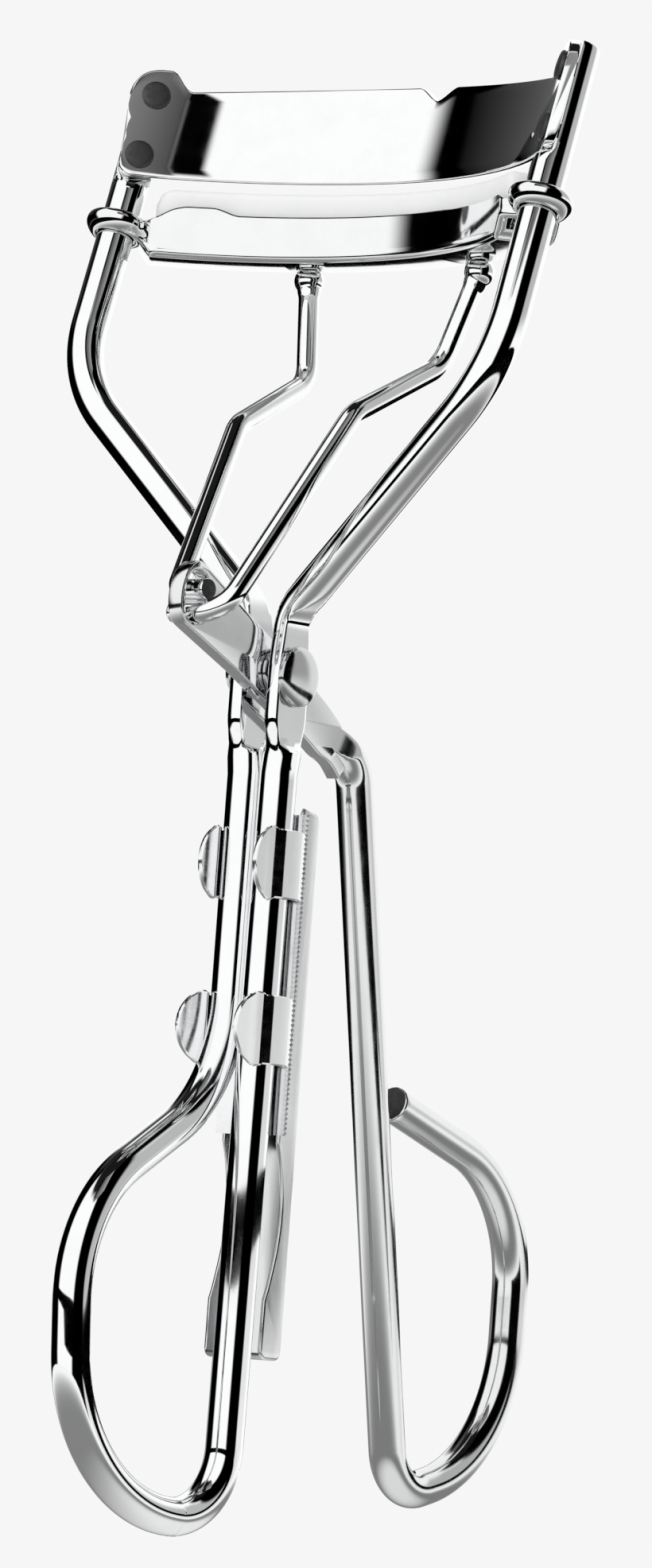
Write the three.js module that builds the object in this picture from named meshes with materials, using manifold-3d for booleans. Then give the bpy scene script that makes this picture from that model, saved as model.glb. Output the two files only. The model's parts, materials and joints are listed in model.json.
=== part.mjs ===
// Eyelash curler: a bent-rod frame, a rod handle on one rivet, and a lower jaw that two link
// wires push along the frame's arms. Millimetres, +Z up along the frame's parallel rods.
// X runs across the head, -Y is the side towards the face and +Y the side of the moving handle.
// Everything is drawn about the pivot rivet, then moved so that the object's box is centred.

import * as THREE from 'three';
import { mergeVertices } from 'three/addons/utils/BufferGeometryUtils.js';
import Module from 'manifold-3d';

const wasm = await Module();
wasm.setup();

// Middle of the object's box, measured from the pivot.
const BOX_CENTRE = new THREE.Vector3(0, 9.18, -7.5);

// Rods, wires and sheets
const ROD_RADIUS = 1.35;
const LINK_RADIUS = 0.75;
const ROUND_SIDES = 12;
const BEND_STEP = radians(15);
const RUNNING_GAP = 0.1;
const SEAT_GAP = 0.05;

// Frame arms: they lean towards +Y, bend inwards and meet at the pivot.
const ARM_X = 18.55;
const ARM_LEAN = Math.tan(radians(17.26));
const ARM_TOP_Z = 44.3;
const ARM_ROOT_Y = -1.38;
const ARM_ROOT_Z = 20.8;
const ARM_BEND_RADIUS = 9.5;
const LEFT_BEND_Z = 21.2;
const RIGHT_BEND_Z = 20.6;

// Pressed cheeks of the frame on both sides of the pivot
const CHEEK_X = 1.615;
const CHEEK_THICKNESS = 1.17;
const CHEEK_SPREAD = 1.33;
const CHEEK_TOP_Z = 4.2;
const CHEEK_BOTTOM_Z = -5;
const CHEEK_BLEND = 1.6;
const CHEEK_STEP = 0.4;
const CHEEK_BEND_RADIUS = 3;
const CHEEK_TAPER = 2;

// Frame rods and finger loop
const FRAME_ROD_X = 1.4;
const LOOP_LEFT_Y = -15.6;
const LOOP_RIGHT_Y = -0.5;
const LOOP_SHOULDER_Z = -29;
const LOOP_SIDE_Z = -38.3;
const LOOP_BOTTOM_Z = -58.6;
const LOOP_SHOULDER_RADIUS = 11;
const LOOP_SIDE_RADIUS = 11.5;
const LOOP_LEFT_RADIUS = 10.6;
const LOOP_RIGHT_RADIUS = 5;
// The loop's wire crosses slowly from the left rod to the right one: X at its two left corners
const LOOP_CROSSING_X = [-1.2, 0.2];

// Handle
const HANDLE_THICKNESS = 1.2;
const HANDLE_LOOP_Y = 33.95;
const HANDLE_ELBOW_Y = 10.38;
const HANDLE_ELBOW_Z = -5;
const SLOT_Y = -9.4;
const SLOT_Z = 3.95;
const SLOT_WIDTH = 2.6;
const SLOT_LENGTH = 3.8;
const LINK_END_Z = 3.75;
const LINK_PITCH = 1.55;

// Pivot rivet and washers
const RIVET_RADIUS = 0.9;
const RIVET_SIDES = 24;
const RIVET_HEAD_RADIUS = 2.1;
const RIVET_HEAD_HEIGHT = 1;
const RIVET_TAIL_RADIUS = 1.7;
const RIVET_TAIL_HEIGHT = 0.7;
const WASHER_RADIUS = 1.75;

// Jaws: the curved plate above and the channel below, both on one arc in plan
const JAW_RADIUS = 25.9;
const PLATE_MIDDLE_Y = 10.4;
const PLATE_BOTTOM_Z = 36.5;
const PLATE_TOP_Z = 43.2;
const PLATE_CROWN_Z = 43.9;
const PLATE_THICKNESS = 0.8;
const PLATE_HALF_ANGLE = radians(48);
// Half width of the flat outline: wider than the curved sheet, so the sheet's arc sets the ends
const OUTLINE_HALF_WIDTH = 20;
const EAR_ANGLE = radians(44.35);
const EAR_TOP_Z = 44.9;
const EAR_SHOULDER_Z = 44;
const EAR_INNER_X = 16.2;
const NOTCH_X = 2;
const NOTCH_HALF_WIDTH = 1.85;
const NOTCH_DEPTH = 1.05;
const EAR_FLAT_DEPTH = 0.15;
const JAW_RIVET_Z = [38, 42.6];
const JAW_RIVET_RADIUS = 0.55;
const JAW_RIVET_HEAD = 1.05;
const JAW_RIVET_HEAD_HEIGHT = 0.3;
const JAW_RIVET_DEPTH = 1.1;

const CHANNEL_MIDDLE_Y = 10;
const CHANNEL_HALF_WIDTH = 2.2;
const CHANNEL_SHEET = 0.5;
const CHANNEL_BOTTOM_Z = 30.5;
const CHANNEL_TOP_Z = 33.7;
const CHANNEL_HALF_ANGLE = radians(40.6);
const CHANNEL_END_ANGLE = radians(0.5);
const NECK_HALF_WIDTH = 0.9;
const NECK_HALF_HEIGHT = 0.6;
const NECK_HALF_ANGLE = radians(42.3);
const EYELET_Z = 32.6;
const EYELET_RADIUS = 2.35;
const EYELET_HEIGHT = 1.5;
const PAD_TOP_Z = 35.5;
const PAD_HALF_ANGLE = radians(39.6);
const JAW_STEPS = 24;

// Link wires: ball ends under the lower jaw, free ends in the lever's slot
const BALL = new THREE.Vector3(7.52, 10.94, 29.9);
const BALL_RADIUS = 1.1;
const SOCKET_RADIUS = 1.3;
const LINK_BEND_RADIUS = 3;

// Comb clip on the frame rods, and the tray behind it
const CLIP_HALF_WIDTH = 3.1;
const CLIP_SHEET = 0.3;
const CLIP_BACK_Y = 1.78;
const CLIP_TOP_Z = -9;
const CLIP_BOTTOM_Z = -32.5;
const TAB_LENGTH = 4.95;
const TAB_TOPS_Z = [-10.9, -22.4];
const TAB_FRONT_Y = { left: [-2.6, -3.8], right: [-3.9, -4.7] };
const TAB_ROUNDING = 1.6;
const TRAY_HALF_WIDTH = 2.52;
const TRAY_SHIFT_X = -0.13;
const TRAY_BACK_Y = 3.9;
const TRAY_BOTTOM_Z = -47.5;
const TRAY_SHEET = 0.3;
const TRAY_CORNER = 0.6;
const TRAY_TOP_SLOPE = 1.4;
const TRAY_FOOT_STEP = 0.5;
const TRAY_NOTCH_Z = -37;
const TRAY_FOOT_Z = -43;

function radians(degrees) {
  return degrees * Math.PI / 180;
}

function vector(x, y, z) {
  return new THREE.Vector3(x, y, z);
}

// Y of an arm's axis at a height on its straight upper part
function armY(z) {
  return ARM_ROOT_Y + (z - ARM_ROOT_Z) * ARM_LEAN;
}

// ---- solids ----

// One closed indexed body: shared corners are merged and collapsed triangles dropped.
function closedBody(geometry) {
  const bare = geometry.clone();
  bare.deleteAttribute('normal');
  bare.deleteAttribute('uv');
  const merged = mergeVertices(bare, 1e-4);
  const corners = merged.index.array;
  const kept = [];
  for (let i = 0; i < corners.length; i += 3) {
    const [a, b, c] = corners.subarray(i, i + 3);
    if (a !== b && b !== c && c !== a) kept.push(a, b, c);
  }
  merged.setIndex(kept);
  return merged;
}

function manifoldOf(geometry) {
  const body = closedBody(geometry);
  return new wasm.Manifold(new wasm.Mesh({
    numProp: 3,
    vertProperties: new Float32Array(body.attributes.position.array),
    triVerts: new Uint32Array(body.index.array),
  }));
}

function geometryOf(manifold) {
  const mesh = manifold.getMesh();
  const geometry = new THREE.BufferGeometry();
  geometry.setAttribute('position', new THREE.BufferAttribute(mesh.vertProperties, 3));
  geometry.setIndex(new THREE.BufferAttribute(mesh.triVerts, 1));
  return geometry;
}

function joined(...geometries) {
  return geometryOf(geometries.map(manifoldOf).reduce((whole, piece) => whole.add(piece)));
}

function cut(geometry, ...tools) {
  return geometryOf(tools.map(manifoldOf).reduce((whole, tool) => whole.subtract(tool), manifoldOf(geometry)));
}

// ---- wires ----

// Points along one corner: an arc where the corner has a bend radius, else the corner itself
function cornerPoints(before, corner, after) {
  if (!corner.radius) return [corner.at];
  const arriving = corner.at.clone().sub(before.at).normalize();
  const leaving = after.at.clone().sub(corner.at).normalize();
  const turn = arriving.angleTo(leaving);
  const start = corner.at.clone().addScaledVector(arriving, -corner.radius * Math.tan(turn / 2));
  const inward = leaving.clone().sub(arriving).normalize();
  const centre = corner.at.clone().addScaledVector(inward, corner.radius / Math.cos(turn / 2));
  const axis = arriving.clone().cross(leaving).normalize();
  const count = Math.ceil(turn / BEND_STEP);
  return Array.from({ length: count + 1 }, (_, i) => (
    start.clone().sub(centre).applyAxisAngle(axis, turn * i / count).add(centre)
  ));
}

// Centre line of a bent wire, with sections only at its corners and along its bends
class WireLine extends THREE.Curve {
  constructor(corners) {
    super();
    this.points = corners.flatMap((corner, i) => cornerPoints(corners[i - 1], corner, corners[i + 1]));
    this.steps = this.points.length - 1;
  }

  getPoint(t, target = new THREE.Vector3()) {
    const first = Math.min(Math.floor(t * this.steps), this.steps - 1);
    return target.lerpVectors(this.points[first], this.points[first + 1], t * this.steps - first);
  }

  getPointAt(u, target) {
    return this.getPoint(u, target);
  }

  getTangentAt(u, target = new THREE.Vector3()) {
    const nearest = Math.round(u * this.steps);
    const before = this.points[Math.max(nearest - 1, 0)];
    const after = this.points[Math.min(nearest + 1, this.steps)];
    return target.subVectors(after, before).normalize();
  }
}

function corner(x, y, z, radius = 0) {
  return { at: vector(x, y, z), radius };
}

function circleShape(radius, sides) {
  const points = Array.from({ length: sides }, (_, i) => {
    const angle = 2 * Math.PI * i / sides;
    return new THREE.Vector2(radius * Math.cos(angle), radius * Math.sin(angle));
  });
  return new THREE.Shape(points);
}

function wire(corners, radius) {
  const line = new WireLine(corners);
  return new THREE.ExtrudeGeometry(circleShape(radius, ROUND_SIDES), {
    steps: line.steps,
    extrudePath: line,
    bevelEnabled: false,
  });
}

// ---- plates and bands ----

// An outline drawn in Y and Z, given a thickness along X from lowX to highX
function plateAcrossX(shape, lowX, highX) {
  const plate = new THREE.ExtrudeGeometry(shape, {
    depth: highX - lowX,
    curveSegments: 8,
    bevelEnabled: false,
  });
  const axes = new THREE.Matrix4().makeBasis(vector(0, 1, 0), vector(0, 0, 1), vector(1, 0, 0));
  return plate.applyMatrix4(axes).translate(lowX, 0, 0);
}

// A straight-sided block between two corners
function block(low, high) {
  const size = high.clone().sub(low);
  const middle = high.clone().add(low).multiplyScalar(0.5);
  return new THREE.BoxGeometry(size.x, size.y, size.z).translate(middle.x, middle.y, middle.z);
}

// A round bar along X
function barAlongX(radius, lowX, highX, sides = RIVET_SIDES) {
  const bar = new THREE.CylinderGeometry(radius, radius, highX - lowX, sides);
  return bar.rotateZ(-Math.PI / 2).translate((lowX + highX) / 2, 0, 0);
}

// A band that follows the jaw's arc in plan, between two heights
function jawBand(middleY, inner, outer, lowZ, highZ, halfAngle) {
  const shape = new THREE.Shape();
  shape.absarc(0, 0, JAW_RADIUS + outer, Math.PI / 2 - halfAngle, Math.PI / 2 + halfAngle, false);
  shape.absarc(0, 0, JAW_RADIUS + inner, Math.PI / 2 + halfAngle, Math.PI / 2 - halfAngle, true);
  const band = new THREE.ExtrudeGeometry(shape, {
    depth: highZ - lowZ,
    curveSegments: JAW_STEPS,
    bevelEnabled: false,
  });
  return band.translate(0, middleY - JAW_RADIUS, lowZ);
}

// Leans an upright shape with the frame's arms, about the upper jaw's lower edge
function leanWithArms(geometry) {
  const lean = new THREE.Matrix4().set(
    1, 0, 0, 0,
    0, 1, ARM_LEAN, -ARM_LEAN * PLATE_BOTTOM_Z,
    0, 0, 1, 0,
    0, 0, 0, 1,
  );
  return geometry.applyMatrix4(lean);
}

// ---- frame ----

// Corner points of one arm, from its top end to the cheek beside the pivot
function armCorners(side, bendZ) {
  const x = side * ARM_X;
  return [
    corner(x, armY(ARM_TOP_Z), ARM_TOP_Z),
    corner(x, armY(bendZ), bendZ, ARM_BEND_RADIUS),
    corner(side * CHEEK_X, 0, CHEEK_TOP_Z, CHEEK_BEND_RADIUS),
    corner(side * CHEEK_X, 0, CHEEK_BOTTOM_Z),
    corner(side * CHEEK_X, 0, CHEEK_BOTTOM_Z - CHEEK_STEP),
    corner(side * FRAME_ROD_X, 0, CHEEK_BOTTOM_Z - CHEEK_TAPER),
  ];
}

// How fully the rod is pressed flat at a height: 1 on the cheek, 0 on the round rod
function pressing(z) {
  if (z < CHEEK_BOTTOM_Z - CHEEK_STEP / 2) return 0;
  return THREE.MathUtils.clamp((CHEEK_TOP_Z + CHEEK_BLEND - z) / CHEEK_BLEND, 0, 1);
}

function pressCheeks(geometry) {
  const position = geometry.attributes.position;
  const half = CHEEK_THICKNESS / 2;
  for (let i = 0; i < position.count; i += 1) {
    const point = vector(0, 0, 0).fromBufferAttribute(position, i);
    const amount = pressing(point.z);
    if (amount === 0) continue;
    const middle = Math.sign(point.x) * (CHEEK_X + Math.max(point.z - CHEEK_TOP_Z, 0));
    const pressed = middle + THREE.MathUtils.clamp(point.x - middle, -half, half);
    point.x = THREE.MathUtils.lerp(point.x, pressed, amount);
    point.y *= THREE.MathUtils.lerp(1, CHEEK_SPREAD, amount);
    position.setXYZ(i, point.x, point.y, point.z);
  }
  return geometry;
}

// Places something built about the origin at the ear of one arm: its +Z faces the ear's front.
// The ear holds the arm's leaning line and the plate's level tangent, so +Z is square to both.
function atEar(geometry, side, z, depth) {
  const along = vector(0, ARM_LEAN, 1).normalize();
  const tangent = vector(side * Math.cos(EAR_ANGLE), -Math.sin(EAR_ANGLE), 0);
  const outward = tangent.cross(along).multiplyScalar(side).normalize();
  const across = along.clone().cross(outward);
  const place = vector(side * ARM_X, armY(z), z).addScaledVector(outward, depth);
  return geometry.applyMatrix4(new THREE.Matrix4().makeBasis(across, along, outward).setPosition(place));
}

// Cutter that leaves a flat on the inner front of an arm for the jaw plate's ear
function earFlatCutter(side) {
  const length = EAR_TOP_Z - PLATE_BOTTOM_Z + 3;
  const box = new THREE.BoxGeometry(8, length, 4).translate(0, 0, 2);
  return atEar(box, side, PLATE_BOTTOM_Z - 1 + length / 2, EAR_FLAT_DEPTH);
}

// Distance of the ear's front face from the arm's axis, square to the leaning ear
const EAR_FRONT_DEPTH = EAR_FLAT_DEPTH + PLATE_THICKNESS + 3 * SEAT_GAP;

function jawRivet(side, z, clearance = 0) {
  const length = JAW_RIVET_DEPTH + EAR_FRONT_DEPTH + clearance;
  const shank = new THREE.CylinderGeometry(
    JAW_RIVET_RADIUS + clearance,
    JAW_RIVET_RADIUS + clearance,
    length,
    ROUND_SIDES,
  );
  shank.rotateX(Math.PI / 2).translate(0, 0, EAR_FRONT_DEPTH - length / 2 + clearance);
  const head = new THREE.CylinderGeometry(JAW_RIVET_HEAD, JAW_RIVET_HEAD, JAW_RIVET_HEAD_HEIGHT, RIVET_SIDES);
  head.rotateX(Math.PI / 2).translate(0, 0, EAR_FRONT_DEPTH + JAW_RIVET_HEAD_HEIGHT / 2);
  return atEar(clearance ? shank : joined(shank, head), side, z, 0);
}

function jawRivetHoles() {
  return [-1, 1].flatMap((side) => JAW_RIVET_Z.map((z) => jawRivet(side, z, SEAT_GAP)));
}

function frameRod() {
  const rod = wire([
    ...armCorners(-1, LEFT_BEND_Z),
    corner(-FRAME_ROD_X, 0, LOOP_SHOULDER_Z, LOOP_SHOULDER_RADIUS),
    corner(LOOP_CROSSING_X[0], LOOP_LEFT_Y, LOOP_SIDE_Z, LOOP_SIDE_RADIUS),
    corner(LOOP_CROSSING_X[1], LOOP_LEFT_Y, LOOP_BOTTOM_Z, LOOP_LEFT_RADIUS),
    corner(FRAME_ROD_X, LOOP_RIGHT_Y, LOOP_BOTTOM_Z, LOOP_RIGHT_RADIUS),
    ...armCorners(1, RIGHT_BEND_Z).reverse(),
  ], ROD_RADIUS);
  const pivotHole = barAlongX(RIVET_RADIUS + SEAT_GAP, -5, 5);
  return cut(pressCheeks(rod), earFlatCutter(-1), earFlatCutter(1), pivotHole, ...jawRivetHoles());
}

// ---- upper jaw ----

// The plate seen from the front: straight below, crowned above with a small notch, an ear each side
function plateOutline() {
  // Control height that brings the ear's curve up to its full height
  const earControl = 2 * EAR_TOP_Z - (EAR_SHOULDER_Z + PLATE_TOP_Z) / 2;
  const shape = new THREE.Shape();
  shape.moveTo(-OUTLINE_HALF_WIDTH, PLATE_BOTTOM_Z);
  shape.lineTo(OUTLINE_HALF_WIDTH, PLATE_BOTTOM_Z);
  shape.lineTo(OUTLINE_HALF_WIDTH, EAR_SHOULDER_Z);
  shape.quadraticCurveTo(ARM_X, earControl, EAR_INNER_X, PLATE_TOP_Z);
  shape.quadraticCurveTo(EAR_INNER_X / 2, PLATE_CROWN_Z, NOTCH_X + NOTCH_HALF_WIDTH, PLATE_CROWN_Z);
  shape.lineTo(NOTCH_X, PLATE_CROWN_Z - NOTCH_DEPTH);
  shape.lineTo(NOTCH_X - NOTCH_HALF_WIDTH, PLATE_CROWN_Z);
  shape.quadraticCurveTo(-EAR_INNER_X / 2, PLATE_CROWN_Z, -EAR_INNER_X, PLATE_TOP_Z);
  shape.quadraticCurveTo(-ARM_X, earControl, -OUTLINE_HALF_WIDTH, EAR_SHOULDER_Z);
  return shape;
}

function upperJawPlate() {
  const half = PLATE_THICKNESS / 2;
  const band = jawBand(PLATE_MIDDLE_Y, -half, half, PLATE_BOTTOM_Z - 1, EAR_TOP_Z + 1, PLATE_HALF_ANGLE);
  const front = new THREE.ExtrudeGeometry(plateOutline(), { depth: 60, curveSegments: 6, bevelEnabled: false });
  front.rotateX(Math.PI / 2).translate(0, 30, 0);
  const plate = geometryOf(manifoldOf(leanWithArms(band)).intersect(manifoldOf(front)));
  return cut(plate, ...jawRivetHoles());
}

// ---- lower jaw ----

function eyelet(side, radius, height) {
  const ring = new THREE.CylinderGeometry(radius, radius, height, RIVET_SIDES);
  const upright = vector(0, 1, 0);
  const along = vector(0, ARM_LEAN, 1).normalize();
  ring.applyQuaternion(new THREE.Quaternion().setFromUnitVectors(upright, along));
  return ring.translate(side * ARM_X, armY(EYELET_Z), EYELET_Z);
}

function ballSocket(side) {
  const socket = new THREE.CylinderGeometry(SOCKET_RADIUS, SOCKET_RADIUS, 2, ROUND_SIDES);
  return socket.rotateX(Math.PI / 2).translate(side * BALL.x, BALL.y, CHANNEL_BOTTOM_Z);
}

function lowerJaw() {
  const wall = (inner, outer, lowZ, highZ, halfAngle) => (
    jawBand(CHANNEL_MIDDLE_Y, inner, outer, lowZ, highZ, halfAngle)
  );
  const width = CHANNEL_HALF_WIDTH;
  const inside = width - CHANNEL_SHEET;
  const floorTop = CHANNEL_BOTTOM_Z + CHANNEL_SHEET;
  const body = joined(
    wall(-width, width, CHANNEL_BOTTOM_Z, CHANNEL_TOP_Z, CHANNEL_HALF_ANGLE),
    wall(-NECK_HALF_WIDTH, NECK_HALF_WIDTH, EYELET_Z - NECK_HALF_HEIGHT, EYELET_Z + NECK_HALF_HEIGHT, NECK_HALF_ANGLE),
    eyelet(-1, EYELET_RADIUS, EYELET_HEIGHT),
    eyelet(1, EYELET_RADIUS, EYELET_HEIGHT),
  );
  const trough = wall(-inside, inside, floorTop, CHANNEL_TOP_Z + 1, CHANNEL_HALF_ANGLE - CHANNEL_END_ANGLE);
  const arms = [-1, 1].map((side) => eyelet(side, ROD_RADIUS + RUNNING_GAP, EYELET_HEIGHT * 3));
  return cut(body, trough, ...arms, ballSocket(-1), ballSocket(1));
}

function siliconePad() {
  const half = CHANNEL_HALF_WIDTH - CHANNEL_SHEET - RUNNING_GAP;
  const low = CHANNEL_BOTTOM_Z + CHANNEL_SHEET + SEAT_GAP;
  return jawBand(CHANNEL_MIDDLE_Y, -half, half, low, PAD_TOP_Z, PAD_HALF_ANGLE);
}

// ---- handle ----

// The flattened lever seen from the side, from its rounded tip to where it becomes the round rod
function leverOutline() {
  const shape = new THREE.Shape();
  shape.moveTo(-9.9, 1.75);
  shape.lineTo(-4.3, -0.45);
  shape.lineTo(3.7, -4);
  shape.lineTo(7, -5.5);
  shape.lineTo(8.1, -6.4);
  shape.lineTo(9.8, -4.3);
  shape.lineTo(6.8, -1.8);
  shape.lineTo(4.8, -0.6);
  shape.lineTo(-8.2, 6.1);
  shape.quadraticCurveTo(-9.5, 6.9, -10.5, 6);
  shape.quadraticCurveTo(-11.4, 4.9, -11.3, 3.4);
  shape.quadraticCurveTo(-11.2, 2.2, -9.9, 1.75);
  return shape;
}

function slotShape() {
  const radius = SLOT_WIDTH / 2;
  const reach = SLOT_LENGTH / 2 - radius;
  const shape = new THREE.Shape();
  shape.absarc(SLOT_Y, SLOT_Z + reach, radius, 0, Math.PI, false);
  shape.absarc(SLOT_Y, SLOT_Z - reach, radius, Math.PI, 2 * Math.PI, false);
  return shape;
}

function handle() {
  const half = HANDLE_THICKNESS / 2;
  const lever = plateAcrossX(leverOutline(), -half, half);
  const rod = wire([
    corner(0, HANDLE_ELBOW_Y - 2.5, HANDLE_ELBOW_Z + 1.2),
    corner(0, HANDLE_ELBOW_Y, HANDLE_ELBOW_Z, 3.3),
    corner(0, 20.98, -56.39, 3.3),
    corner(0, HANDLE_LOOP_Y, -53.3, 11.5),
    corner(0, HANDLE_LOOP_Y, -33.35, 10.2),
    corner(0, 17.8, -28.5),
  ], ROD_RADIUS);
  const pivotHole = barAlongX(RIVET_RADIUS + RUNNING_GAP, -2, 2);
  return cut(joined(lever, rod), plateAcrossX(slotShape(), -2, 2), pivotHole);
}

// ---- pivot ----

function pivotRivet() {
  const face = CHEEK_X + CHEEK_THICKNESS / 2 + SEAT_GAP;
  const dome = new THREE.LatheGeometry([
    new THREE.Vector2(0, 0),
    new THREE.Vector2(RIVET_HEAD_RADIUS, 0),
    new THREE.Vector2(RIVET_HEAD_RADIUS * 0.93, RIVET_HEAD_HEIGHT * 0.5),
    new THREE.Vector2(RIVET_HEAD_RADIUS * 0.6, RIVET_HEAD_HEIGHT * 0.88),
    new THREE.Vector2(0, RIVET_HEAD_HEIGHT),
  ], RIVET_SIDES);
  dome.rotateZ(-Math.PI / 2).translate(face, 0, 0);
  const tail = barAlongX(RIVET_TAIL_RADIUS, -face - RIVET_TAIL_HEIGHT, -face);
  return joined(barAlongX(RIVET_RADIUS, -face - 0.2, face + 0.2), dome, tail);
}

function pivotWasher(side) {
  const low = HANDLE_THICKNESS / 2 + SEAT_GAP;
  const high = CHEEK_X - CHEEK_THICKNESS / 2 - SEAT_GAP;
  const disc = barAlongX(WASHER_RADIUS, Math.min(side * low, side * high), Math.max(side * low, side * high));
  return cut(disc, barAlongX(RIVET_RADIUS + RUNNING_GAP, -2, 2));
}

// ---- link wires ----

function linkWire(corners) {
  const ball = new THREE.SphereGeometry(BALL_RADIUS, RIVET_SIDES / 2, 8).rotateX(Math.PI / 2);
  ball.translate(corners[0].at.x, corners[0].at.y, corners[0].at.z);
  return joined(ball, wire(corners, LINK_RADIUS));
}

function leftLinkWire() {
  return linkWire([
    corner(-BALL.x, BALL.y, BALL.z),
    corner(-5.97, 9.47, 22.2, LINK_BEND_RADIUS),
    corner(-4.95, 0.59, 17.7, LINK_BEND_RADIUS),
    corner(-1.6, SLOT_Y + 0.35, LINK_END_Z + LINK_PITCH / 2, 1.2),
    corner(1.5, SLOT_Y, LINK_END_Z + LINK_PITCH / 2),
  ]);
}

function rightLinkWire() {
  return linkWire([
    corner(BALL.x, BALL.y, BALL.z),
    corner(5.85, 9.47, 23, LINK_BEND_RADIUS),
    corner(5.15, 0.59, 18.2, LINK_BEND_RADIUS),
    corner(2.8, SLOT_Y + 0.1, LINK_END_Z - LINK_PITCH / 2, 2.2),
    corner(-1.6, SLOT_Y, LINK_END_Z - LINK_PITCH / 2),
  ]);
}

// ---- comb clip and tray ----

// A tab seen from the side: straight behind the rod, round in front of it
function tabOutline(topZ, frontY) {
  const low = topZ - TAB_LENGTH;
  const shape = new THREE.Shape();
  shape.moveTo(CLIP_BACK_Y - SEAT_GAP, low);
  shape.lineTo(CLIP_BACK_Y - SEAT_GAP, topZ);
  shape.lineTo(frontY + TAB_ROUNDING, topZ);
  shape.quadraticCurveTo(frontY, topZ, frontY, topZ - TAB_LENGTH / 2);
  shape.quadraticCurveTo(frontY, low, frontY + TAB_ROUNDING, low);
  return shape;
}

function combClip() {
  const outer = CLIP_HALF_WIDTH;
  const inner = CLIP_HALF_WIDTH - CLIP_SHEET;
  const back = block(
    vector(-outer, CLIP_BACK_Y - CLIP_SHEET, CLIP_BOTTOM_Z),
    vector(outer, CLIP_BACK_Y, CLIP_TOP_Z),
  );
  const tabs = TAB_TOPS_Z.flatMap((topZ, row) => [
    plateAcrossX(tabOutline(topZ, TAB_FRONT_Y.left[row]), -outer, -inner),
    plateAcrossX(tabOutline(topZ, TAB_FRONT_Y.right[row]), inner, outer),
  ]);
  return joined(back, ...tabs);
}

// The tray's flange seen from the side: sloped top corner, finger notch, rounded foot
function trayOutline() {
  const front = CLIP_BACK_Y + SEAT_GAP;
  const foot = front - TRAY_FOOT_STEP;
  const shape = new THREE.Shape();
  shape.moveTo(front, CLIP_TOP_Z - TRAY_TOP_SLOPE);
  shape.lineTo(front, CLIP_BOTTOM_Z);
  shape.quadraticCurveTo(TRAY_BACK_Y, TRAY_NOTCH_Z, foot, TRAY_FOOT_Z);
  shape.lineTo(foot, TRAY_BOTTOM_Z + TRAY_CORNER);
  shape.quadraticCurveTo(foot, TRAY_BOTTOM_Z, foot + TRAY_CORNER, TRAY_BOTTOM_Z);
  shape.lineTo(TRAY_BACK_Y - TRAY_CORNER, TRAY_BOTTOM_Z);
  shape.quadraticCurveTo(TRAY_BACK_Y, TRAY_BOTTOM_Z, TRAY_BACK_Y, TRAY_BOTTOM_Z + TRAY_CORNER);
  shape.lineTo(TRAY_BACK_Y, CLIP_TOP_Z - TRAY_CORNER);
  shape.lineTo(TRAY_BACK_Y - TRAY_CORNER, CLIP_TOP_Z);
  return shape;
}

function combTray() {
  const outer = TRAY_HALF_WIDTH;
  const inner = outer - TRAY_SHEET;
  const trough = block(
    vector(-inner, 0, TRAY_BOTTOM_Z + TRAY_SHEET),
    vector(inner, TRAY_BACK_Y - TRAY_SHEET, 0),
  );
  return cut(plateAcrossX(trayOutline(), -outer, outer), trough).translate(TRAY_SHIFT_X, 0, 0);
}

// ---- assembly ----

function metal(color, roughness) {
  return new THREE.MeshStandardMaterial({ color, roughness, metalness: 1 });
}

const model = new THREE.Group();

function add(name, geometry, material) {
  const mesh = new THREE.Mesh(closedBody(geometry), material);
  mesh.name = name;
  model.add(mesh);
}

add('frame_rod', frameRod(), metal(0xd8dadb, 0.08));
add('upper_jaw_plate', upperJawPlate(), metal(0xdcdedf, 0.1));
[-1, 1].forEach((side) => {
  JAW_RIVET_Z.forEach((z, row) => {
    const name = `jaw_rivet_${side < 0 ? 'left' : 'right'}_${row ? 'upper' : 'lower'}`;
    add(name, jawRivet(side, z), metal(0x6a6c6e, 0.5));
  });
});
add('pivot_rivet', pivotRivet(), metal(0xd0d2d3, 0.15));
add('pivot_washer_left', pivotWasher(-1), metal(0xb4b6b8, 0.3));
add('pivot_washer_right', pivotWasher(1), metal(0xb4b6b8, 0.3));
add('handle', handle(), metal(0xd8dadb, 0.08));
add('lower_jaw', lowerJaw(), metal(0xdcdedf, 0.12));
add('silicone_pad', siliconePad(), new THREE.MeshStandardMaterial({
  color: 0xf3f4f4,
  roughness: 0.45,
  metalness: 0,
}));
add('link_wire_left', leftLinkWire(), metal(0xd4d6d7, 0.1));
add('link_wire_right', rightLinkWire(), metal(0xd4d6d7, 0.1));
add('comb_clip', combClip(), metal(0xc4c6c8, 0.3));
add('comb_tray', combTray(), metal(0xc8cacc, 0.3));

model.position.copy(BOX_CENTRE).negate();

export default model;
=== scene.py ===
import json
import math

import bmesh
import bpy
from mathutils import Matrix, Vector


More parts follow.
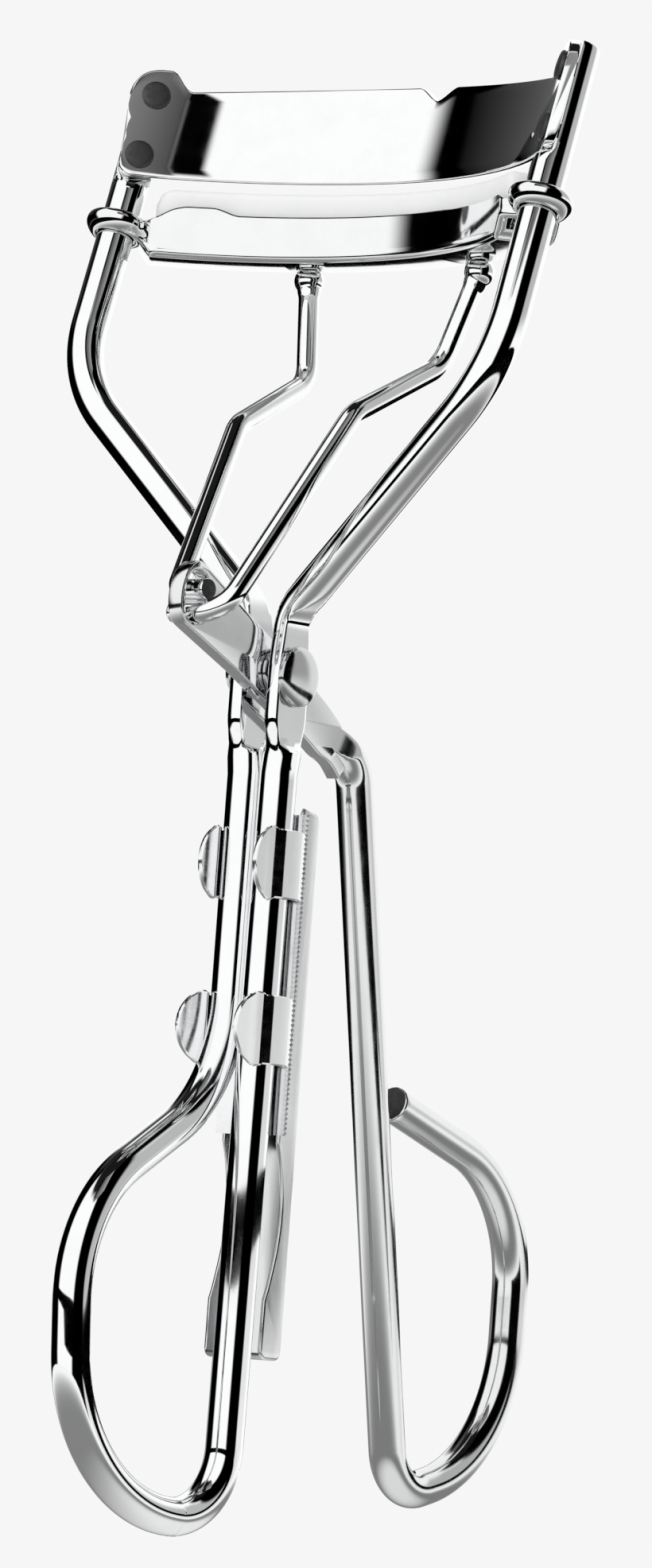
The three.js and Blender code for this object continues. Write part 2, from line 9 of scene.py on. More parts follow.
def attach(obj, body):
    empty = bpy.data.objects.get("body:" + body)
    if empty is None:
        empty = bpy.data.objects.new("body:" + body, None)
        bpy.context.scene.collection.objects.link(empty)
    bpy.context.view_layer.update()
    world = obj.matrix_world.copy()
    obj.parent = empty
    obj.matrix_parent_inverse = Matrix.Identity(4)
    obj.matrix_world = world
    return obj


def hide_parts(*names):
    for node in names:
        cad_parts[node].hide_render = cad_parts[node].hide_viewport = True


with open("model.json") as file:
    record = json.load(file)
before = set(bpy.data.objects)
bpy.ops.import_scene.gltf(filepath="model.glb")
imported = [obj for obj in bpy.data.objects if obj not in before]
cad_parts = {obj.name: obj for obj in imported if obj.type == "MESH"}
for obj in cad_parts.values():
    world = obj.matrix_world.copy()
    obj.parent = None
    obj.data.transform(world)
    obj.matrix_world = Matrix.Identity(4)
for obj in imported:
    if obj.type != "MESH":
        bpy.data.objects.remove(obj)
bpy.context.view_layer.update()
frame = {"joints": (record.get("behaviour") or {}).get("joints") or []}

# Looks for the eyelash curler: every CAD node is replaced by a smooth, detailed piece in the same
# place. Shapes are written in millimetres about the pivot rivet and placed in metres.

MM = 0.001
JOINTS = {joint["name"]: joint for joint in frame["joints"]}
PIVOT = Vector(JOINTS["handle_pivot"]["pos_m"])

# Stock
ROD_RADIUS = 1.335
LINK_RADIUS = 0.75
ROUND_SIDES = 40
BEND_STEP = math.radians(3)
STRAIGHT_STEP = 0.5

# Frame
ARM_X = 18.55
ARM_LEAN = math.tan(math.radians(17.26))
ARM_TOP_Z = 44.3
ARM_ROOT_Y = -1.38
ARM_ROOT_Z = 20.8
ARM_BEND_RADIUS = 9.5
LEFT_BEND_Z = 21.2
RIGHT_BEND_Z = 20.6
CHEEK_X = 1.615
CHEEK_HALF = 0.585
CHEEK_TOP_Z = 4.2
CHEEK_BOTTOM_Z = -5.1
CHEEK_BEND_RADIUS = 3
CHEEK_TAPER = 2
FRAME_ROD_X = 1.4
LOOP_LEFT_Y = -15.58
LOOP_RIGHT_Y = -0.5
LOOP_SHOULDER_Z = -29
LOOP_SIDE_Z = -38.3
LOOP_BOTTOM_Z = -58.56
CUT_EDGE = 0.2

# Jaws, both on one arc in plan
JAW_RADIUS = 25.9
PLATE_MIDDLE_Y = 10.4
PLATE_BOTTOM_Z = 36.5
PLATE_THICKNESS = 0.8
PLATE_HALF_ANGLE = math.radians(47.3)
EAR_ANGLE = math.radians(44.35)
JAW_TILT = 0.45
EAR_TOP_Z = 44.8
EAR_TOP_REACH = 0.55
EAR_WAIST = 0.45
EAR_FLAT_DEPTH = 0.15
EAR_FRONT_DEPTH = 1.1
PLATE_EDGE = 0.16
NOTCH_S = 2.05
NOTCH_LEFT = 1.9
NOTCH_RIGHT = 1.75
NOTCH_DEPTH = 1.05
RIVET_SINK = 0.04
JAW_RIVET_Z = (38.0, 42.6)
CHANNEL_MIDDLE_Y = 10
CHANNEL_HALF_WIDTH = 2.2
CHANNEL_SHEET = 0.5
CHANNEL_BOTTOM_Z = 30.5
CHANNEL_TOP_Z = 33.7
EYELET_Z = 32.6
EYELET_RADIUS = 2.34
EYELET_BORE = 1.46
PAD_TOP_Z = 35.5
PAD_HALF_ANGLE = math.radians(39.6)
PAD_HALF_WIDTH = 1.58
PAD_SEAT_GAP = 0.06
PAD_CROWN = 0.55
PAD_CROWN_STEPS = 8

# Handle
HANDLE_HALF = 0.6
HANDLE_LOOP_Y = 33.95
SLOT_Y = -9.4
SLOT_Z = 3.95
SLOT_WIDTH = 2.6
SLOT_LENGTH = 3.8
LINK_END_Z = 3.75
LINK_PITCH = 1.55

# Link wires
BALL = Vector((7.52, 10.94, 29.9))
BALL_RADIUS = 1.1
LINK_COLLAR = 0.86

# Pivot
RIVET_HEAD_RADIUS = 2.1
RIVET_FACE_X = 2.26
RIVET_HEAD_DROP = -0.3
RIVET_SHANK_RADIUS = 0.88
WASHER_CHAMFER = 0.06
WASHER_RADIUS = 1.75
WASHER_BORE = 1.0

# Comb clip and tray
CLIP_X = 3.08
CLIP_SHEET = 0.38
CLIP_BACK_Y = 1.78
CLIP_TOP_Z = -9
CLIP_BOTTOM_Z = -32.5
TAB_TOPS_Z = (-10.9, -22.4)
TAB_LENGTH = 4.95
TAB_TIP = ((2.56, -3.25), (2.7, -4.25))
TOOTH_PITCH = 0.34
TRAY_X = 2.52
TRAY_SHIFT = -0.13
TRAY_SHEET = 0.3
TRAY_BACK_Y = 3.88
TRAY_BOTTOM_Z = -47.45

# Studio: the far surroundings as azimuth from the camera (+ right), elevation, soft edge, lean of the
# left and right edges and brightness, in degrees; later layers cover earlier ones.
FAR_LAYERS = (
    ((-180, 180), (-90, -12), 8, (0, 0), 0.95),
    ((98, 160), (-62, -16), 10, (0, 0), 0.12),
    ((70, 112), (2, 50), 8, (0, 0), 0.5),
    ((-160, -94), (-14, 70), 6, (0, -0.4), 0.0),
    ((14, 76), (-30, 75), 5, (0.3, 0.3), 0.0),
    ((24, 125), (54, 95), 5, (0, 0), 0.0),
    ((-180, 180), (66, 95), 3, (0, 0), 0.01),
)
# Brightness of the pale softboxes, of the backdrop behind the object and of the light on matt pieces
WHITE = 1.05
BACKDROP = 0.922
EVEN_LIGHT = 1.05
# A flat black ring between table and softboxes, and a glowing table that is greyer near its middle, a painted
# shadow under the object (mm)
GAP_RADII = (112, 340)
GAP_Z = -30
TABLE_Z = -76
TABLE_CENTRE = (14, 18)
TABLE_RADIUS = 300
TABLE_SHADOW_GREY = 0.24
TABLE_FADE = (70, 220)
TABLE_PATCH = 0.6
TABLE_PATCH_FADE = (12, 50)
# Cards near the object: point they surround (mm), azimuth and elevation ranges, distance (mm),
# brightness at the left and right edge, and soft edge as a share of the card
CARDS = (
    ("grey_over_plate", (10, 8, 40), (-16, 30), (28, 60), 104, 0.06, 0.36, 0.03),
    ("flag_over_plate", (10, 8, 40), (-29, -13), (28, 60), 100, 0.0, 0.0, 0.1),
    ("grey_under_handle", (0, 2, -4), (-185, -135), (-62, -22), 85, 0.27, 0.27, 0.08),
    ("flag_back_left", (-12, 9, 40), (-180, -104), (8, 42), 80, 0.12, 0.0, 0.04),
)

# Camera: where it stands from the pivot (mm), which way it looks and how far it leans
CAMERA_AT = Vector((289.29, -374.59, -52.67))
CAMERA_AZIMUTH = math.radians(37.14)
CAMERA_ELEVATION = math.radians(-5.46)
CAMERA_ROLL = math.radians(4.2)
CAMERA_LENS = 157.36


def place(point):
    """A point in mm about the pivot, as a place in the frame in metres."""
    return PIVOT + Vector(point) * MM


def arm_y(z):
    """Y of an arm's centre line at a height on its straight upper part."""
    return ARM_ROOT_Y + (z - ARM_ROOT_Z) * ARM_LEAN


def mix(a, b, t):
    return a + (b - a) * t


def smooth(low, high, value):
    """0 below low, 1 above high, and a smooth step between them."""
    t = min(max((value - low) / (high - low), 0), 1)
    return t * t * (3 - 2 * t)


# ---- mesh helpers ----

def add_object(name, data):
    obj = bpy.data.objects.new(name, data)
    bpy.context.scene.collection.objects.link(obj)
    return obj


def mesh_object(name, points, faces, sharp_angle=math.radians(38)):
    """A smooth-shaded object from points in mm about the pivot."""
    mesh = bpy.data.meshes.new(name)
    mesh.from_pydata([place(p) for p in points], [], faces)
    return clean_object(name, mesh, 1e-7, sharp_angle)


def clean_object(name, mesh, merge_distance, sharp_angle):
    """Merges doubled points (distance in metres), turns the faces outwards and makes the object."""
    body = bmesh.new()
    body.from_mesh(mesh)
    bmesh.ops.remove_doubles(body, verts=body.verts, dist=merge_distance)
    bmesh.ops.recalc_face_normals(body, faces=body.faces)
    body.to_mesh(mesh)
    body.free()
    obj = add_object(name, mesh)
    shade(obj, sharp_angle)
    return obj


def shade(obj, sharp_angle=math.radians(38)):
    obj.data.shade_smooth()
    obj.data.set_sharp_from_angle(angle=sharp_angle)


def apply_modifiers(obj):
    bpy.context.view_layer.update()
    graph = bpy.context.evaluated_depsgraph_get()
    mesh = bpy.data.meshes.new_from_object(obj.evaluated_get(graph))
    obj.modifiers.clear()
    obj.data = mesh


def boolean(obj, tool, operation):
    """Joins or cuts obj with another closed object, which is used up."""
    modifier = obj.modifiers.new(operation, "BOOLEAN")
    modifier.operation = operation
    modifier.solver = "EXACT"
    modifier.object = tool
    apply_modifiers(obj)
    bpy.data.objects.remove(tool)
    shade(obj)


def bevel(obj, width, segments=2, angle=math.radians(40)):
    """Rounds the sharp edges of obj by a width in mm."""
    modifier = obj.modifiers.new("bevel", "BEVEL")
    modifier.width = width * MM
    modifier.segments = segments
    modifier.limit_method = "ANGLE"
    modifier.angle_limit = angle
    apply_modifiers(obj)
    shade(obj)


def corner_points(before, corner, after):
    """Points along one corner (x, y, z, bend radius): an arc, or the corner itself."""
    at = Vector(corner[:3])
    if len(corner) < 4:
        return [at]
    radius = corner[3]
    arriving = (at - Vector(before[:3])).normalized()
    leaving = (Vector(after[:3]) - at).normalized()
    turn = arriving.angle(leaving)
    start = at - arriving * radius * math.tan(turn / 2)
    centre = at + (leaving - arriving).normalized() * radius / math.cos(turn / 2)
    axis = arriving.cross(leaving).normalized()
    count = max(2, math.ceil(turn / BEND_STEP))
    return [
        centre + Matrix.Rotation(turn * i / count, 3, axis) @ (start - centre)
        for i in range(count + 1)
    ]


def bent_line(corners):
    """Centre line of a bent wire: rounded corners, and straights cut into short steps."""
    rounded = []
    for i, corner in enumerate(corners):
        before = corners[max(i - 1, 0)]
        after = corners[min(i + 1, len(corners) - 1)]
        rounded.extend(corner_points(before, corner, after))
    line = [rounded[0]]
    for point in rounded[1:]:
        gap = (point - line[-1]).length
        if gap < 1e-4:
            continue
        start = line[-1]
        count = max(1, math.ceil(gap / STRAIGHT_STEP))
        line.extend(start.lerp(point, (k + 1) / count) for k in range(count))
    return line


def line_frames(line, first_side):
    """Direction and two cross axes at each point of a line, carried along without twist."""
    frames = []
    side = Vector(first_side)
    for i in range(len(line)):
        before = line[max(i - 1, 0)]
        after = line[min(i + 1, len(line) - 1)]
        along = (after - before).normalized()
        side = (side - along * side.dot(along)).normalized()
        frames.append((along, side, along.cross(side)))
    return frames


def rings_to_mesh(name, rings, sharp_angle=math.radians(38)):
    """Skins a list of equal rings of points and closes both ends."""
    count = len(rings[0])
    points = [p for ring in rings for p in ring]
    faces = []
    for i in range(len(rings) - 1):
        low = i * count
        for k in range(count):
            j = (k + 1) % count
            faces.append((low + k, low + j, low + count + j, low + count + k))
    last = (len(rings) - 1) * count
    faces.append(tuple(reversed(range(count))))
    faces.append(tuple(range(last, last + count)))
    return mesh_object(name, points, faces, sharp_angle)


def sweep(name, line, shape, first_side=(1, 0, 0), sides=ROUND_SIDES):
    """A wire along a line. shape(i, distance, angle) gives the two offsets on the cross axes."""
    frames = line_frames(line, first_side)
    rings = []
    distance = 0
    for i, point in enumerate(line):
        if i:
            distance += (point - line[i - 1]).length
        along, side, up = frames[i]
        ring = []
        for k in range(sides):
            a, b = shape(i, distance, 2 * math.pi * k / sides)
            ring.append(point + side * a + up * b)
        rings.append(ring)
    return rings_to_mesh(name, rings)


def line_length(line):
    return sum((b - a).length for a, b in zip(line, line[1:]))


def end_round(distance, total, radius, edge):
    """Radius near a cut end whose rim is rounded by edge."""
    from_end = min(distance, total - distance)
    if from_end >= edge:
        return radius
    return radius - edge + math.sqrt(max(edge * edge - (edge - from_end) ** 2, 0))


def add_end_points(line, edge=0.2, count=4):
    """Extra points close to both ends, so that the rounded rims have sections."""
    start = (line[1] - line[0]).normalized()
    end = (line[-2] - line[-1]).normalized()
    steps = [edge * (1 - math.cos(math.pi / 2 * k / count)) for k in range(1, count + 1)]
    head = [line[0] + start * s for s in steps]
    tail = [line[-1] + end * s for s in reversed(steps)]
    return [line[0]] + head + line[1:-1] + tail + [line[-1]]


def lathe(name, profile, centre, axis, steps=64, closed=False):
    """Turns (radius, height) pairs about an axis through a centre."""
    axis = Vector(axis).normalized()
    helper = Vector((0, 0, 1)) if abs(axis.z) < 0.9 else Vector((1, 0, 0))
    side = (helper - axis * helper.dot(axis)).normalized()
    up = axis.cross(side)
    rings = []
    for k in range(steps):
        angle = 2 * math.pi * k / steps
        out = side * math.cos(angle) + up * math.sin(angle)
        rings.append([Vector(centre) + out * r + axis * h for r, h in profile])
    count = len(profile)
    points = [p for ring in rings for p in ring]
    faces = []
    for i in range(steps):
        j = (i + 1) % steps
        for k in range(count if closed else count - 1):
            m = (k + 1) % count
            faces.append((i * count + k, i * count + m, j * count + m, j * count + k))
    return mesh_object(name, points, faces)


def plate_from_outline(name, outline, holes, low_x, high_x, edge):
    """A plate across X from closed outlines of (y, z) points, with rounded edges."""
    curve = bpy.data.curves.new(name, "CURVE")
    curve.dimensions = "2D"
    curve.fill_mode = "BOTH"
    curve.extrude = ((high_x - low_x) / 2 - edge) * MM
    curve.bevel_depth = edge * MM
    curve.bevel_resolution = 3
    curve.offset = -edge * MM
    for points in [outline] + holes:
        spline = curve.splines.new("POLY")
        spline.points.add(len(points) - 1)
        for point, (y, z) in zip(spline.points, points):
            point.co = (y * MM, z * MM, 0, 1)
        spline.use_cyclic_u = True
    drawn = add_object(name + "_outline", curve)
    bpy.context.view_layer.update()
    graph = bpy.context.evaluated_depsgraph_get()
    mesh = bpy.data.meshes.new_from_object(drawn.evaluated_get(graph))
    bpy.data.objects.remove(drawn)
    axes = Matrix(((0, 0, 1, 0), (1, 0, 0, 0), (0, 1, 0, 0), (0, 0, 0, 1)))
    mesh.transform(Matrix.Translation(place(((low_x + high_x) / 2, 0, 0))) @ axes)
    return clean_object(name, mesh, 2e-6, math.radians(30))


def arc(centre, radius, start, end, count=12):
    """Points (y, z) along an arc, angles in degrees."""
    turns = [math.radians(mix(start, end, k / count)) for k in range(count + 1)]
    return [(centre[0] + radius * math.cos(t), centre[1] + radius * math.sin(t)) for t in turns]


def curve_through(points, count=8, closed=False):
    """Catmull-Rom points through given ones, for flowing outlines."""
    points = [Vector(p) for p in points]
    total = len(points)
    result = []
    last = total if closed else total - 1
    for i in range(last):
        a = points[(i - 1) % total] if closed or i else points[0]
        b = points[i]
        c = points[(i + 1) % total]
        d = points[(i + 2) % total] if closed or i + 2 < total else points[-1]
        for k in range(count):
            t = k / count
            result.append(0.5 * (
                2 * b + (c - a) * t + (2 * a - 5 * b + 4 * c - d) * t * t
                + (3 * b - a - 3 * c + d) * t ** 3
            ))
    if not closed:
        result.append(points[-1])
    return [tuple(p) for p in result]


# ---- materials ----

def node(tree, kind, **inputs):
    """A new node with some inputs set; _ stands for a space in their names."""
    made = tree.nodes.new(kind)
    for name, value in inputs.items():
        made.inputs[name.replace("_", " ")].default_value = value
    return made


def noise_field(tree, scale, detail=4, stretch=(1, 1, 1)):
    """Noise in the object's own space, stretched to make streaks."""
    place_node = tree.nodes.new("ShaderNodeTexCoord")
    mapping = tree.nodes.new("ShaderNodeMapping")
    mapping.inputs["Scale"].default_value = stretch
    field = node(tree, "ShaderNodeTexNoise", Scale=scale, Detail=detail, Roughness=0.6)
    tree.links.new(place_node.outputs["Object"], mapping.inputs["Vector"])
    tree.links.new(mapping.outputs["Vector"], field.inputs["Vector"])
    return field


def ranged(tree, source, low, high, to_low, to_high, kind="LINEAR"):
    """Maps a value from one range to another, held inside it."""
    ends = {"From_Min": low, "From_Max": high, "To_Min": to_low, "To_Max": to_high}
    made = node(tree, "ShaderNodeMapRange", **ends)
    made.interpolation_type = kind
    tree.links.new(source, made.inputs["Value"])
    return made.outputs["Result"]


def feed(tree, value, socket):
    """Gives an input a plain value, or links another node's output to it."""
    if isinstance(value, bpy.types.NodeSocket):
        tree.links.new(value, socket)
    elif value is not None:
        socket.default_value = value


def math_value(tree, operation, first, second=None):
    """The result of a Math node whose inputs are numbers or sockets."""
    made = tree.nodes.new("ShaderNodeMath")
    made.operation = operation
    for socket, value in zip(made.inputs, (first, second)):
        feed(tree, value, socket)
    return made.outputs["Value"]


def mixed(tree, factor, a, b, kind="FLOAT"):
    """From a to b (sockets or values) by a factor."""
    made = tree.nodes.new("ShaderNodeMix")
    made.data_type = kind
    for value, name in ((factor, "Factor"), (a, "A"), (b, "B")):
        feed(tree, value, made.inputs[name])
    return made.outputs["Result"]


def new_material(name):
    """A material and its node tree."""
    material = bpy.data.materials.new(name)
    material.use_nodes = True
    return material, material.node_tree


def emboss(tree, height, strength, distance):
    """Relief from a height field on the main shader (distance in metres)."""
    relief = node(tree, "ShaderNodeBump", Strength=strength, Distance=distance)
    tree.links.new(height, relief.inputs["Height"])
    tree.links.new(relief.outputs["Normal"], tree.nodes["Principled BSDF"].inputs["Normal"])


def glowing(tree, color):
    """Swaps the main shader for plain light of a colour."""
    tree.nodes.remove(tree.nodes["Principled BSDF"])
    glow = tree.nodes.new("ShaderNodeEmission")
    tree.links.new(color, glow.inputs["Color"])
    return glow.outputs["Emission"]


def metal(name, color, roughness, spread, bump, scale, pits=0.0, stretch=(1, 1, 1)):
    """Plated or bare metal: cloudy roughness, fine ripple, scattered pits and a slight tarnish."""
    material, tree = new_material(name)
    shader = tree.nodes["Principled BSDF"]
    shader.inputs["Metallic"].default_value = 1
    cloud = noise_field(tree, 420, 3)
    streak = noise_field(tree, scale, 6, stretch)
    clouded = ranged(tree, cloud.outputs["Fac"], 0.3, 0.55, 0, 1)
    tint = mixed(tree, clouded, (*[c * 0.97 for c in color], 1), (*color, 1), "RGBA")
    tree.links.new(tint, shader.inputs["Base Color"])
    rough = ranged(tree, streak.outputs["Fac"], 0.35, 0.75, roughness, roughness + spread)
    tree.links.new(rough, shader.inputs["Roughness"])
    height = streak.outputs["Fac"]
    if pits:
        spots = node(tree, "ShaderNodeTexVoronoi", Scale=scale * 0.8)
        hollow = ranged(tree, spots.outputs["Distance"], 0.05, 0.25, -pits, 0)
        height = math_value(tree, "ADD", hollow, height)
    emboss(tree, height, bump, 0.00002)
    return material


def silicone_material():
    """Milky, slightly translucent rubber with a soft sheen and faint moulding unevenness."""
    material, tree = new_material("milky_silicone")
    shader = tree.nodes["Principled BSDF"]
    cloud = noise_field(tree, 300, 4).outputs["Fac"]
    clouded = ranged(tree, cloud, 0.3, 0.7, 0, 1)
    tint = mixed(tree, clouded, (0.9, 0.905, 0.905, 1), (0.95, 0.955, 0.955, 1), "RGBA")
    tree.links.new(tint, shader.inputs["Base Color"])
    tree.links.new(ranged(tree, cloud, 0.3, 0.7, 0.38, 0.52), shader.inputs["Roughness"])
    shader.inputs["Subsurface Weight"].default_value = 0.5
    shader.inputs["Subsurface Radius"].default_value = (0.0016, 0.0016, 0.0015)
    shader.inputs["Subsurface Scale"].default_value = 1
    shader.inputs["IOR"].default_value = 1.41
    emboss(tree, cloud, 0.08, 0.00003)
    return material


BRIGHT = (0.93, 0.935, 0.94)
# Darker colour: the satin tray's own duller tone, and on the handle's chrome painted shade
SHADED_CHROME_AND_STEEL = (0.8, 0.805, 0.81)
CHROME_ROD = metal("chrome_rod", BRIGHT, 0.03, 0.03, 0.02, 900, stretch=(1, 1, 0.3))
# The handle's chrome is darker than the rod's: painted shade
CHROME_HANDLE = metal("chrome_handle", SHADED_CHROME_AND_STEEL, 0.07, 0.06, 0.03, 900, stretch=(1, 1, 0.3))
CHROME_PLATE = metal("chrome_plate", BRIGHT, 0.03, 0.03, 0.012, 700)
CHROME_JAW = metal("chrome_jaw", (0.88, 0.885, 0.89), 0.04, 0.04, 0.02, 800)
CHROME_LINK = metal("chrome_link", BRIGHT, 0.05, 0.05, 0.03, 1400)
PIVOT_STEEL = metal("pivot_steel", (0.62, 0.625, 0.63), 0.08, 0.1, 0.12, 1600)
SATIN_CLIP = metal("satin_clip", (0.88, 0.885, 0.89), 0.09, 0.08, 0.05, 1500, stretch=(1, 0.2, 1))
SATIN_TRAY = metal("satin_tray", SHADED_CHROME_AND_STEEL, 0.16, 0.1, 0.08, 1500, stretch=(1, 1, 0.15))
RIVET_FACE = metal("rivet_face", (0.12, 0.12, 0.122), 0.42, 0.25, 1.0, 2600, pits=1.5)
CUT_END = metal("cut_end", (0.1, 0.1, 0.102), 0.45, 0.25, 1.0, 2400, pits=1.0)
SILICONE = silicone_material()


def rough_ends(obj, ends, reach):
    """Rough cut faces: those within reach (mm) of an end point that look along its direction."""
    obj.data.materials.append(CUT_END)
    for point, direction in ends:
        centre = place(point)
        along = Vector(direction).normalized()
        for face in obj.data.polygons:
            if (face.center - centre).length < reach * MM and face.normal.dot(along) > 0.8:
                face.material_index = 1


def finish_piece(obj, material, nodes, body, ends=(), reach=1.2):
    """Gives a piece its material and its place in the frame, and hides the CAD nodes it stands for."""
    obj.data.materials.clear()
    obj.data.materials.append(material)
    if ends:
        rough_ends(obj, ends, reach)
    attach(obj, body)
    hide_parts(*nodes)


# ---- frame rod ----

def arm_corners(side, bend_z):
    """Corners of one arm, from its cut top to the rod under the pivot."""
    x = side * ARM_X
    return [
        (x, arm_y(ARM_TOP_Z), ARM_TOP_Z),
        (x, arm_y(bend_z), bend_z, ARM_BEND_RADIUS),
        (side * CHEEK_X, 0, CHEEK_TOP_Z, CHEEK_BEND_RADIUS),
        (side * CHEEK_X, 0, CHEEK_BOTTOM_Z),
        (side * FRAME_ROD_X, 0, CHEEK_BOTTOM_Z - CHEEK_TAPER),
    ]


def ear_outward(side):
    """Outward direction of the flat where an ear sits."""
    along = Vector((0, ARM_LEAN, 1)).normalized()
    tangent = Vector((side * math.cos(EAR_ANGLE), -math.sin(EAR_ANGLE), 0))
    return (tangent.cross(along) * side).normalized()


def cheek_amount(z):
    """How flat the rod is pressed at a height."""
    if z > 0:
        return smooth(CHEEK_TOP_Z + 2.4, CHEEK_TOP_Z - 0.6, z)
    return smooth(CHEEK_BOTTOM_Z - 0.35, CHEEK_BOTTOM_Z, z)


def build_frame_rod():
    """The whole frame from one rod: arms with ear flats, pressed cheeks, rods and finger loop."""
    line = add_end_points(bent_line([
        *arm_corners(-1, LEFT_BEND_Z),
        (-FRAME_ROD_X, 0, LOOP_SHOULDER_Z, 11),
        (-1.2, LOOP_LEFT_Y, LOOP_SIDE_Z, 11.5),
        (0.2, LOOP_LEFT_Y, LOOP_BOTTOM_Z, 10.6),
        (FRAME_ROD_X, LOOP_RIGHT_Y, LOOP_BOTTOM_Z, 5),
        *reversed(arm_corners(1, RIGHT_BEND_Z)),
    ]))
    total = line_length(line)
    frames = line_frames(line, (1, 0, 0))
    facing = {side: ear_outward(side) for side in (-1, 1)}
    rings = []
    distance = 0
    for i, point in enumerate(line):
        if i:
            distance += (point - line[i - 1]).length
        along, side_axis, up_axis = frames[i]
        radius = end_round(distance, total, ROD_RADIUS, CUT_EDGE)
        pressed = cheek_amount(point.z) if point.z < 8 and abs(point.y) < 2 else 0
        across = (Vector((1, 0, 0)) - along * along.x).normalized()
        deep = along.cross(across)
        half = mix(ROD_RADIUS, CHEEK_HALF, pressed)
        width = mix(1, waist(point.z), pressed)
        side = 1 if point.x > 0 else -1
        outward = facing[side]
        ear = smooth(PLATE_BOTTOM_Z - 0.9, PLATE_BOTTOM_Z - 0.2, point.z)
        ring = []
        for k in range(ROUND_SIDES):
            angle = 2 * math.pi * k / ROUND_SIDES
            offset = (side_axis * math.cos(angle) + up_axis * math.sin(angle)) * radius
            if pressed:
                a = min(max(offset.dot(across), -half), half)
                offset = across * a + deep * offset.dot(deep) * width
            if ear:
                depth = offset.dot(outward)
                limit = mix(ROD_RADIUS, EAR_FLAT_DEPTH, ear)
                if depth > limit:
                    offset -= outward * (depth - limit)
            ring.append(point + offset)
        rings.append(ring)
    rod = rings_to_mesh("frame_rod_smooth", rings, math.radians(50))
    tops = [(line[0], line[0] - line[1]), (line[-1], line[-1] - line[-2])]
    finish_piece(rod, CHROME_ROD, ["frame_rod"], "frame", tops)


def waist(z):
    """Widening of the pressed cheek along its height: narrow at the top, widest below the rivet."""
    return 1.05 + 0.33 * smooth(4.5, -0.5, z) * smooth(CHEEK_BOTTOM_Z - 0.2, -3.2, z)


build_frame_rod()


# ---- upper jaw ----

def jaw_tilt(angle):
    """How far the jaws' edges drop at a plan angle: slightly down to the right, level at the arms."""
    return JAW_TILT * math.sin(angle) * math.cos(angle) ** 4


def plate_point(angle, height, depth):
    """A point on the upper jaw: plan angle, height, and depth behind the middle of the sheet."""
    radius = JAW_RADIUS + depth
    y = PLATE_MIDDLE_Y - JAW_RADIUS + radius * math.cos(angle)
    y += (height - PLATE_BOTTOM_Z) * ARM_LEAN
    return Vector((radius * math.sin(angle), y, height - jaw_tilt(angle)))


def plate_top(s):
    """Height of the plate's upper edge at a distance s along the sheet from its middle."""
    far = abs(s)
    end = JAW_RADIUS * PLATE_HALF_ANGLE
    height = 43.9 - 0.0031 * (s + 3) ** 2 if s > -17.8 else 43.2
    height = mix(height, EAR_TOP_Z, smooth(17.4, 19.4, far))
    corner = 1.5
    if far > end - corner:
        t = (far - (end - corner)) / corner
        height -= corner * 1.15 * (1 - math.sqrt(max(1 - t * t, 0)))
    from_notch = (s - NOTCH_S) / (NOTCH_LEFT if s < NOTCH_S else NOTCH_RIGHT)
    dip = max(0, 1 - abs(from_notch))
    return height - NOTCH_DEPTH * mix(dip, smooth(0, 1, dip), 0.7)


def plate_low(s):
    """Height of the plate's lower edge, with rounded corners at the ears."""
    end = JAW_RADIUS * PLATE_HALF_ANGLE
    corner = 1.3
    far = abs(s)
    if far <= end - corner:
        return PLATE_BOTTOM_Z
    t = (far - (end - corner)) / corner
    return PLATE_BOTTOM_Z + corner * (1 - math.sqrt(max(1 - t * t, 0)))


def ear_shift(s, z):
    """How far the end of the sheet is moved out or in at a height: two lobes round the rivets."""
    low, high = JAW_RIVET_Z
    near_end = smooth(JAW_RADIUS * PLATE_HALF_ANGLE - 2.4, JAW_RADIUS * PLATE_HALF_ANGLE, abs(s))
    from_waist = min(abs(z - (low + high) / 2 - 0.1) / 1.5, 1)
    shift = EAR_TOP_REACH * smooth(low, high, z) - EAR_WAIST * (1 - smooth(0, 1, from_waist))
    return math.copysign(shift * near_end, s)


def plate_columns():
    """Distances along the sheet: close together at the notch and at the round ends."""
    end = JAW_RADIUS * PLATE_HALF_ANGLE
    inner = [-(end - 1.6) + (2 * end - 3.2) * k / 150 for k in range(151)]
    corners = [end - 1.6 + 1.6 * math.sin(math.pi / 2 * k / 14) for k in range(1, 15)]
    notch = [NOTCH_S + d * 0.12 for d in range(-16, 16)]
    return sorted([-c for c in corners] + inner + notch + corners)


def build_upper_plate():
    """The curved plate, ring by ring along its arc, with rounded edges all round."""
    edge = PLATE_EDGE
    half = PLATE_THICKNESS / 2
    turns = [math.pi / 2 * k / 4 for k in range(5)]
    front = [(-half + edge * (1 - math.cos(t)), edge * (1 - math.sin(t))) for t in turns]
    rows = 10
    rings = []
    for s in plate_columns():
        low = plate_low(s)
        high = max(plate_top(s), low + 3.2 * edge)
        ring = [(depth, low + inset) for depth, inset in reversed(front)]
        ring += [(-half, mix(low + edge, high - edge, k / rows)) for k in range(1, rows)]
        ring += [(depth, high - inset) for depth, inset in front]
        ring += [(-depth, high - inset) for depth, inset in reversed(front)]
        ring += [(half, mix(high - edge, low + edge, k / rows)) for k in range(1, rows)]
        ring += [(-depth, low + inset) for depth, inset in front]
        rings.append([plate_point((s + ear_shift(s, z)) / JAW_RADIUS, z, depth) for depth, z in ring])
    plate = rings_to_mesh("upper_jaw_smooth", rings, math.radians(45))
    finish_piece(plate, CHROME_PLATE, ["upper_jaw_plate"], "frame")


build_upper_plate()


